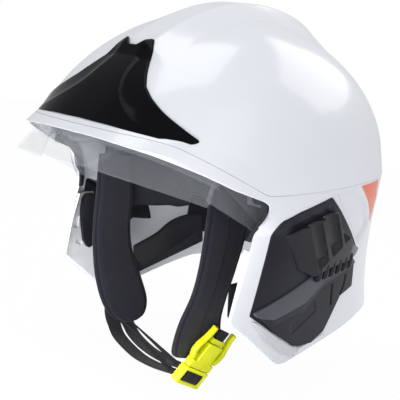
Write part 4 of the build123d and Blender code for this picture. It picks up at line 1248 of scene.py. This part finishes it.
cameraFit = {"at": (0.4458, -0.5090, 0.0978), "right": (0.7257, 0.6675, 0.1664),
             "up": (-0.2194, -0.0047, 0.9756), "back": (0.652, -0.7446, 0.1431),
             "focal": 808.92, "picture": 400.0, "sensor": 36.0}


def setCamera():
    # The focal length is in pixels of the picture.
    data = bpy.data.cameras.new("camera")
    data.sensor_width = cameraFit["sensor"]
    data.lens = cameraFit["focal"] / cameraFit["picture"] * cameraFit["sensor"]
    camera = addObject("camera", data)
    turn = Matrix([cameraFit["right"], cameraFit["up"], cameraFit["back"]]).transposed()
    camera.matrix_world = Matrix.Translation(cameraFit["at"]) @ turn.to_4x4()
    bpy.context.scene.camera = camera


# Each lamp: place, the point it is aimed at, width and height, and power in watts.
lampForm = {
    "keyLamp": ((-0.3, -0.2, 1.9), (0, 0, 0.05), (1.2, 1.2), 11.0),
    "sideLamp": ((1.6, -0.2, 0.9), (0, 0, 0), (1.0, 1.4), 2.5),
    "rearLamp": ((0.3, 1.5, 1.3), (0, 0, 0.05), (1.4, 1.0), 7.0),
    "fillLamp": ((0.3, -0.5, -0.08), (-0.08, 0.0, -0.04), (0.25, 0.2), 0.9),
    "insideLamp": ((0.03, -0.2, -0.08), (-0.09, -0.02, -0.05), (0.1, 0.1), 0.4),
}


def addLamp(name, at, aim, size, power):
    data = bpy.data.lights.new(name, "AREA")
    data.shape = "RECTANGLE"
    data.size, data.size_y = size
    data.energy = power
    lamp = addObject(name, data)
    back = np.array(at, float) - np.array(aim, float)
    back /= np.linalg.norm(back)
    side = np.cross([0, 0, 1], back)
    side /= np.linalg.norm(side)
    turn = Matrix([side.tolist(), np.cross(back, side).tolist(), back.tolist()]).transposed()
    lamp.matrix_world = Matrix.Translation(at) @ turn.to_4x4()
    lamp.visible_camera = False


stageForm = {"floor": rgb(0.86, 0.86, 0.87), "rough": 0.9, "drop": 0.001, "half": 3.0, "white": 0.97,
             "sky": rgb(0.97, 0.98, 1.0), "skyPower": 0.66}


def setStage():
    # Pale floor, and a plain sky that lights the object. The camera sees both as white, and
    # what is seen through glass is the white sky too.
    f = stageForm
    z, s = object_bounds()[0][2] - f["drop"], f["half"]
    white = {"Color": rgb(1, 1, 1), "Strength": 1.0}
    t = newMaterial("paleFloor")
    seen = t.node("ShaderNodeLightPath").num("Is Camera Ray")
    glow = t.node("ShaderNodeEmission", {}, white)
    base = t.node("ShaderNodeBsdfPrincipled", {}, {"Base Color": f["floor"], "Roughness": f["rough"]})
    t.show(t.node("ShaderNodeMixShader", {}, {0: seen * f["white"], 1: base.out(0), 2: glow.out(0)}))
    mesh = bpy.data.meshes.new("floor")
    mesh.from_pydata([(-s, -s, z), (s, -s, z), (s, s, z), (-s, s, z)], [], [(0, 1, 2, 3)])
    mesh.materials.append(t.owner)
    addObject("floor", mesh)
    t = Tree(bpy.data.worlds.new("studio"), "ShaderNodeOutputWorld")
    bpy.context.scene.world = t.owner
    path = t.node("ShaderNodeLightPath")
    seen = t.node("ShaderNodeMath", {"operation": "MAXIMUM"},
                  {0: path.num("Is Camera Ray"), 1: path.num("Is Transmission Ray")}).num(0)
    sky = t.node("ShaderNodeBackground", {}, {"Color": f["sky"], "Strength": f["skyPower"]})
    plain = t.node("ShaderNodeBackground", {}, white)
    t.show(t.node("ShaderNodeMixShader", {}, {0: seen, 1: sky.out(0), 2: plain.out(0)}))


setCamera()
for name, settings in lampForm.items():
    addLamp(name, *settings)
setStage()
bpy.context.scene.view_settings.view_transform = "Standard"
print("stage: camera and lights set")
